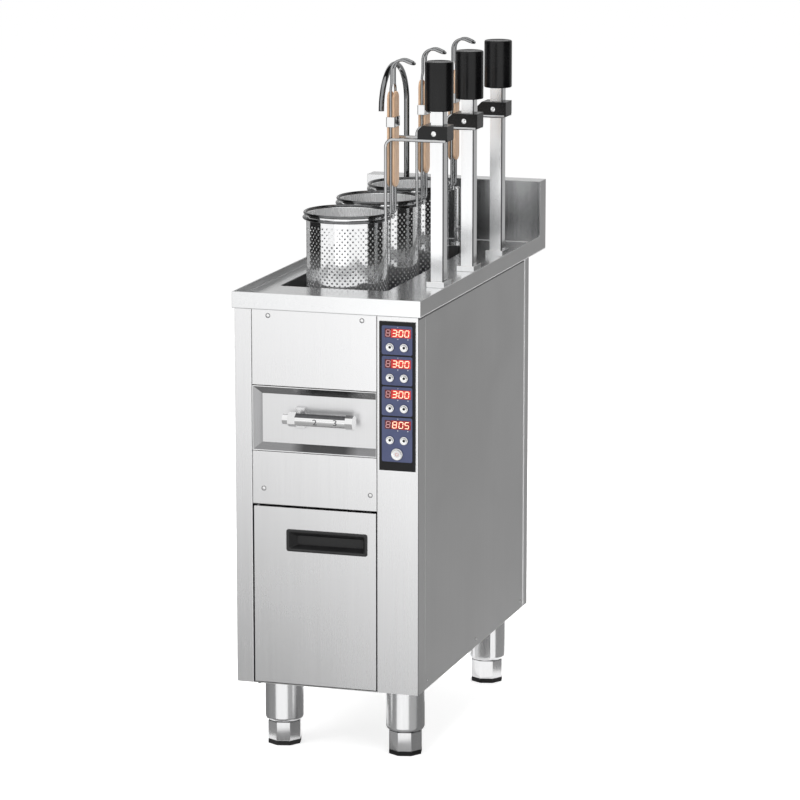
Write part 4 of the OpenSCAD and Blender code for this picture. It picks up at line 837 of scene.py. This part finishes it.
s = SimpleNamespace(**buttonSettings)
for node in [n for n in cadNodes if n.startswith("timer_") and n != "timer_faces"] + ["heat_less", "heat_more"]:
    rings, pip, x, z, y = makeButton(s, node, s.ring, s.dot)
    dress(node, rings + [(pip, "blackPlastic")])
rings, pip, x, z, y = makeButton(s, "power_button", s.powerRing, s.powerDot)
arc = [(across, y, up) for up, across in arcPoints((z, x), s.sign * mm, *s.signTurn, 24)]
stem = [(x, y, z + h * mm) for h in s.signStem]
sign = wirePart("power_sign", [(arc, False), (stem, False)], s.signWire, "printRed", 8)
dress("power_button", rings + [(pip, "printWhite"), sign])

displaySettings = {
    "x": 126.4, "size": (44.8, 14.6), "front": -374.1, "face": -373.6, "sink": 0.2, "drop": 12.4,
    "tops": (757.0, 705.6, 654.2, 602.8), "shown": ("300", "300", "300", "805"), "digit": (6.6, 10.4), "stroke": 1.25,
    "gap": 0.25, "lift": 0.15, "pitch": 10.2, "lean": 0.1, "ghost": 11.0, "ghostX": 5.6, "firstX": 6.0, "colonGap": 0.8,
    "colon": (11.6, 2.2, 0.75), "marks": ((0, 1, 0.6), (0, -1, 0.85), (17.5, -1, 0.85)), "markAway": 2.6, "markRaise": 0.12,
}
segments = {"0": "abcdef", "3": "abgcd", "5": "afgcd", "8": "abcdefg"}
bars = {"a": (-1, 1, 1, 1), "b": (1, 0, 1, 1), "c": (1, -1, 1, 0), "d": (-1, -1, 1, -1), "e": (-1, -1, -1, 0),
        "f": (-1, 0, -1, 1), "g": (-1, 0, 1, 0)}  # ends of each bar, in half digits


def flatPlate(name, outline, back, front):  # outline on the front plane
    return loftMesh(name, [[(x, y, z) for x, z in outline] for y in (back, front)])


def digitPlates(s, label, cx, cz):
    w, h = s.digit
    t = s.stroke
    plates = []
    for letter in segments[label]:
        x0, z0, x1, z1 = bars[letter]
        first, last = Vector((x0 * w / 2, z0 * h / 2)), Vector((x1 * w / 2, z1 * h / 2))
        run = (last - first).normalized()
        side = Vector((-run.y, run.x)) * t / 2
        start, end = first + run * s.gap, last - run * s.gap
        outline = [start, start + run * t / 2 - side, end - run * t / 2 - side, end, end - run * t / 2 + side,
                   start + run * t / 2 + side]
        outline = [(cx + p.x + s.lean * p.y, cz + p.y) for p in outline]
        plates.append(flatPlate("digit_bar", outline, s.front, s.front - s.lift))
    return plates


def disc(x, z, radius, back, front):
    return flatPlate("mark", arcPoints((x, z), radius, 0, 337.5, 15), back, front)


def makeDisplay(index, s):
    x, z = s.x, s.tops[index] - s.drop
    w, h = s.size
    left, split, right, seat = x - w / 2, x - w / 2 + s.ghost, x + w / 2, s.face + s.sink
    parts = []
    for name, x0, x1, finish in (("display_dim", left, split, "displayDark"),
                                 ("display_lit", split, right, "displayDeep" if index == 3 else "displayRed")):
        outline = [(x0, z - h / 2), (x1, z - h / 2), (x1, z + h / 2), (x0, z + h / 2)]
        parts.append((flatPlate(name, outline, seat, s.front), finish))
    parts += [(plate, "digitGhost") for plate in digitPlates(s, "8", left + s.ghostX, z)]
    for spot, label in enumerate(s.shown[index]):
        middle = split + s.firstX + spot * s.pitch + (s.colonGap if spot else 0)
        parts += [(plate, "digitLit") for plate in digitPlates(s, label, middle, z)]
    if index < 3:
        dx, dz, r = s.colon
        parts += [(disc(split + dx, z + rise, r, s.front, s.front - s.lift), "digitLit") for rise in (-dz, dz)]
    parts += [(disc(x + dx, z + way * (h / 2 + s.markAway), r, seat, s.face - s.markRaise), "printWhite")
              for dx, way, r in s.marks]
    return joinPiece("display_%d" % (index + 1), parts)


for index in range(4):
    place(makeDisplay(index, SimpleNamespace(**displaySettings)), "cabinet", slot="timer_face")
print("controls dressed")

leverText = {"z": 591.5, "y": -385.0, "radius": 10.5, "size": 14.31, "widen": 1.25, "raise": 0.12,
             "figures": (("2", -12.0), ("3", 23.5))}


def makeFigures(s):  # figures wrapped on the round bar
    parts = []
    for label, x in s["figures"]:
        words = bpy.data.curves.new("figure", "FONT")
        setAll(words, body=label, size=s["size"], align_x="CENTER", extrude=s["raise"])
        source = linkPiece("figure", words)
        mesh = evaluated(source)
        bpy.data.objects.remove(source)
        middle = sum(v.co.y for v in mesh.vertices) / len(mesh.vertices)
        for v in mesh.vertices:
            turn = (v.co.y - middle) / s["radius"]
            reach = s["radius"] + v.co.z
            v.co = Vector((x + v.co.x * s["widen"], s["y"] - reach * cos(turn), s["z"] + reach * sin(turn))) * mm
        parts.append((mesh, "printGrey"))
    return joinPiece("lever_figures", parts)


place(makeFigures(leverText), "lever", slot="lever_steel")

screwSettings = {
    "front": [(-101.7, 762.0), (63.2, 762.0), (-110.7, 467.0), (77.2, 467.0)], "frontY": -370.5, "frontRadius": 3.4,
    "sideY": (-317.7, -30.5, 256.7), "sideZ": 142.0, "sideX": 161.0, "sideRadius": 2.4,
    "sunk": 0.3, "edge": 0.1, "rise": 0.5, "cross": (1.1, 0.2, 0.5), "rim": (0.8, 1.22, 0.06),  # in head radii
}


def buildScrewTree():  # a screw head on every point, facing the way its attribute says
    tree, gin, gout = startTree("screwHeads", [("Head", "Object")])
    head = make(tree, "GeometryNodeObjectInfo", {"Object": gin["Head"]}, "Geometry")
    facing, size = (make(tree, "GeometryNodeInputNamedAttribute", {"Name": label}, data_type=kind)
                    for label, kind in (("facing", "FLOAT_VECTOR"), ("size", "FLOAT")))
    turn = make(tree, "FunctionNodeAlignRotationToVector", {"Vector": facing}, axis="Z")
    return finishTree(tree, gin, gout, make(tree, "GeometryNodeInstanceOnPoints", {
        "Points": gin["Geometry"], "Instance": head, "Rotation": turn, "Scale": size}))


def unitLathe(name, outline):  # outline in metres
    return linkPiece(name, lathe(name, [(r / mm, h / mm) for r, h in outline], (0, 0, 0), 32))


def screwHead(s):  # unit-radius head with a cross recess
    arc = arcPoints((0, s.edge), (1.0, s.rise), 15, 75, 4)
    dome = unitLathe("screw_head", [(1.0, -s.sunk), (1.0, s.edge)] + arc + [(0, s.edge + s.rise)])
    for turn in (0, 90):
        with shaping("recess") as (form, bar):
            spin = Matrix.Rotation(radians(turn), 4, "Z")
            bmesh.ops.create_cube(form, size=1, matrix=spin @ Matrix.Diagonal((*s.cross, 1)))
            bmesh.ops.translate(form, verts=form.verts, vec=(0, 0, s.edge + s.rise))
        cutter = linkPiece("recess", bar)
        modify(dome, "BOOLEAN", operation="DIFFERENCE", object=cutter)
        settle(dome)
        bpy.data.objects.remove(cutter)
    shadeBy(dome.data, 30)
    return dome


def screwParts(s):
    spots = [((x, s.frontY, z), (0, -1, 0), s.frontRadius) for x, z in s.front]
    spots += [((side * s.sideX, y, s.sideZ), (side, 0, 0), s.sideRadius) for side in (-1, 1) for y in s.sideY]
    mesh = bpy.data.meshes.new("screw_spots")
    mesh.from_pydata([inMetres(spot) for spot, way, radius in spots], [], [])
    for label, kind in (("facing", "FLOAT_VECTOR"), ("size", "FLOAT")):
        mesh.attributes.new(label, kind, "POINT")
    for i, (spot, way, radius) in enumerate(spots):
        mesh.attributes["facing"].data[i].vector = way
        mesh.attributes["size"].data[i].value = radius * mm
    # a thin dark ring under each head: the clearance hole round the screw, with its shade painted in
    inner, outer, thick = s.rim
    rim = unitLathe("screw_rim", [(inner, 0.0), (outer, 0.0), (outer, thick), (inner, thick), (inner, 0.0)])
    tree = buildScrewTree()
    parts = []
    for form, finish in ((screwHead(s), "leverSteel"), (rim, "valveSteel")):
        piece = runTree(linkPiece("screws", mesh.copy()), tree, Head=form, Material=finishes[finish])
        parts.append((piece.data, finish))
        for done in (form, piece):
            bpy.data.objects.remove(done)
    return parts


dress("panel_screws", screwParts(SimpleNamespace(**screwSettings)))
print("screws set")


# stage, light and camera

stageSettings = {
    "floorSize": 30.0, "floorTone": 0.9, "floorGlow": 0.62, "ambient": 0.42,
    "front": {"corner": (-3.0, -6.0, 0.004), "size": (4.5, 5.69, 0.0), "near": (-0.6, 0.57), "far": (-4.0, 1.5),
              "hold": (-1.0, 0.76, 1.0), "lean": -0.316, "left": (-0.043, 0.44), "right": (0.277, 0.0)},
    "cards": {  # name: corner, size, grey
        "rightCard": ((1.35, -0.5, -0.02), (0, 1.7, 2.2), 0.02),
        "backCard": ((0.2, 1.45, -0.02), (2.2, 0, 2.6), 0.42),
        "backLow": ((-2.4, 1.45, -0.02), (2.6, 0, 0.97), 0.14),
        "backHigh": ((-2.4, 1.45, 0.95), (2.6, 0, 1.65), 0.62),
        "legLeft": ((-0.152, -0.36, 0.01), (0.1, 0, 0.1), 1.45),
        "legRight": ((0.066, -0.36, 0.01), (0.1, 0, 0.1), 1.45),
        "legRear": ((0.048, 0.19, 0.01), (0.1, 0, 0.1), 1.45),
        "skyCard": ((-2.4, 0.1, 2.6), (4.8, 1.4, 0), 0.03),
        "leftCard": ((-1.35, -0.9, -0.02), (0, 1.2, 2.2), 0.02),
        "leftBack": ((-1.35, 0.3, -0.02), (0, 1.2, 2.2), 0.42),
        "floorRight": ((-0.05, -0.31, 0.003), (1.4, 0.36, 0), 0.28),
        "floorBack": ((0.2, 0.05, 0.003), (2.0, 1.4, 0), 0.42),
        "floorNear": ((-1.35, -0.8, 0.006), (1.19, 0.5, 0), 0.4),
        "floorLeft": ((-1.35, -0.3, 0.003), (1.17, 1.5, 0), 0.3),
    },
    "lamps": {  # name: place, target, size, watts
        "key": ((-1.9, -2.6, 2.6), (0, 0, 0.6), 2.2, 42.0),
        "fill": ((2.2, -2.4, 1.6), (0, 0, 0.6), 2.2, 16.0),
        "top": ((0, 0.2, 3.2), (0, 0, 0.9), 2.4, 30.0),
        "rear": ((0, 1.6, 2.2), (0, -0.35, 0.8), 1.2, 40.0),
    },
}


def stagePaint(name, tone, glow):  # dull paint that gives light
    material, tree, shader, place = startMaterial(name)
    plug(tree, shader, {"Base Color": (tone, tone, tone, 1), "Roughness": 0.9, "Specular IOR Level": 0.0,
                        "Emission Color": (glow, glow, glow, 1), "Emission Strength": 1.0})
    return material, tree, shader, place


def seenRays(tree, unseen, seen):  # one value for camera, mirror and glass rays, another for the rest
    path = tree.nodes.new("ShaderNodeLightPath").outputs
    total = path["Is Camera Ray"]
    for label in ("Is Glossy Ray", "Is Transmission Ray"):
        total = calc(tree, "MAXIMUM", total, path[label])
    return mapRange(tree, total, 0, 1, unseen, seen)


def frontPaint(s):  # floor that steel mirrors in front, darker near the part and to its left
    material, tree, shader, place = stagePaint("frontFloorPaint", 0, 1)
    away = make(tree, "ShaderNodeSeparateXYZ", {0: place}, "Y")
    across = make(tree, "ShaderNodeVectorMath", {0: place, 1: (1, s["lean"], 0)}, "Value", operation="DOT_PRODUCT")
    (near, nearGlow), (far, farGlow), (left, leftLoss), (right, rightLoss) = s["near"], s["far"], s["left"], s["right"]
    reach = mapRange(tree, away, far, near, farGlow, nearGlow)
    hold = mapRange(tree, away, far, *s["hold"])
    loss = calc(tree, "MULTIPLY", hold, mapRange(tree, across, left, right, leftLoss, rightLoss))
    plug(tree, shader, {"Emission Color": calc(tree, "MULTIPLY", reach, calc(tree, "SUBTRACT", 1.0, loss))})
    return material


def setSheet(name, corner, size, material):  # a flat rectangle along two axes
    corner = Vector(corner)
    first, second = (Vector([size[i] if i == axis else 0.0 for i in range(3)]) for axis in range(3) if size[axis])
    mesh = bpy.data.meshes.new(name)
    mesh.from_pydata([corner, corner + first, corner + first + second, corner + second], [], [(0, 1, 2, 3)])
    mesh.materials.append(material)
    sheet = linkPiece(name, mesh)
    return sheet


def setCard(name, corner, size, material):  # seen in mirrors only
    card = setSheet(name, corner, size, material)
    card.visible_camera = card.visible_diffuse = card.visible_shadow = False


def aim(thing, spot, target):
    return setAll(thing, location=spot, rotation_euler=(target - spot).to_track_quat("-Z", "Y").to_euler())


def buildStage(s):
    size, front = s["floorSize"], s["front"]
    paint, tree, shader, place = stagePaint("floorPaint", s["floorTone"], 1)
    plug(tree, shader, {"Emission Strength": seenRays(tree, 0, s["floorGlow"])})
    setSheet("floor", (-size / 2, -size / 2, 0), (size, size, 0), paint)
    for name, (corner, size, glow) in s["cards"].items():
        setCard(name, corner, size, stagePaint(name + "Paint", 0, glow)[0])
    setCard("frontFloor", front["corner"], front["size"], frontPaint(front))
    scene.world = bpy.data.worlds.new("studio")
    scene.world.use_nodes = True
    tree = scene.world.node_tree
    sky = tree.nodes["Background"].inputs
    plug(tree, sky, {"Color": (1, 1, 1, 1), "Strength": seenRays(tree, s["ambient"], 1.0)})
    for name, (spot, target, size, watts) in s["lamps"].items():
        lamp = setAll(bpy.data.lights.new(name, "AREA"), shape="DISK", size=size, energy=watts)
        aim(linkPiece(name, lamp), Vector(spot), Vector(target)).visible_glossy = False


cameraSettings = {"azimuth": 17.55, "elevation": 11.2, "distance": 6.98, "target": (0.0081, 0.0125, 0.5528),
                  "lens": 178.65, "sensor": 36.0, "farthest": 60}


def buildCamera(s):
    az, el = radians(s["azimuth"]), radians(s["elevation"])
    away = Vector((sin(az) * cos(el), -cos(az) * cos(el), sin(el)))
    lens = setAll(bpy.data.cameras.new("photoCamera"), lens=s["lens"], sensor_width=s["sensor"], clip_end=s["farthest"])
    target = Vector(s["target"])
    scene.camera = aim(linkPiece("photoCamera", lens), target + away * s["distance"], target)


buildStage(stageSettings)
buildCamera(cameraSettings)
scene.view_settings.view_transform = "Standard"
print("stage set")
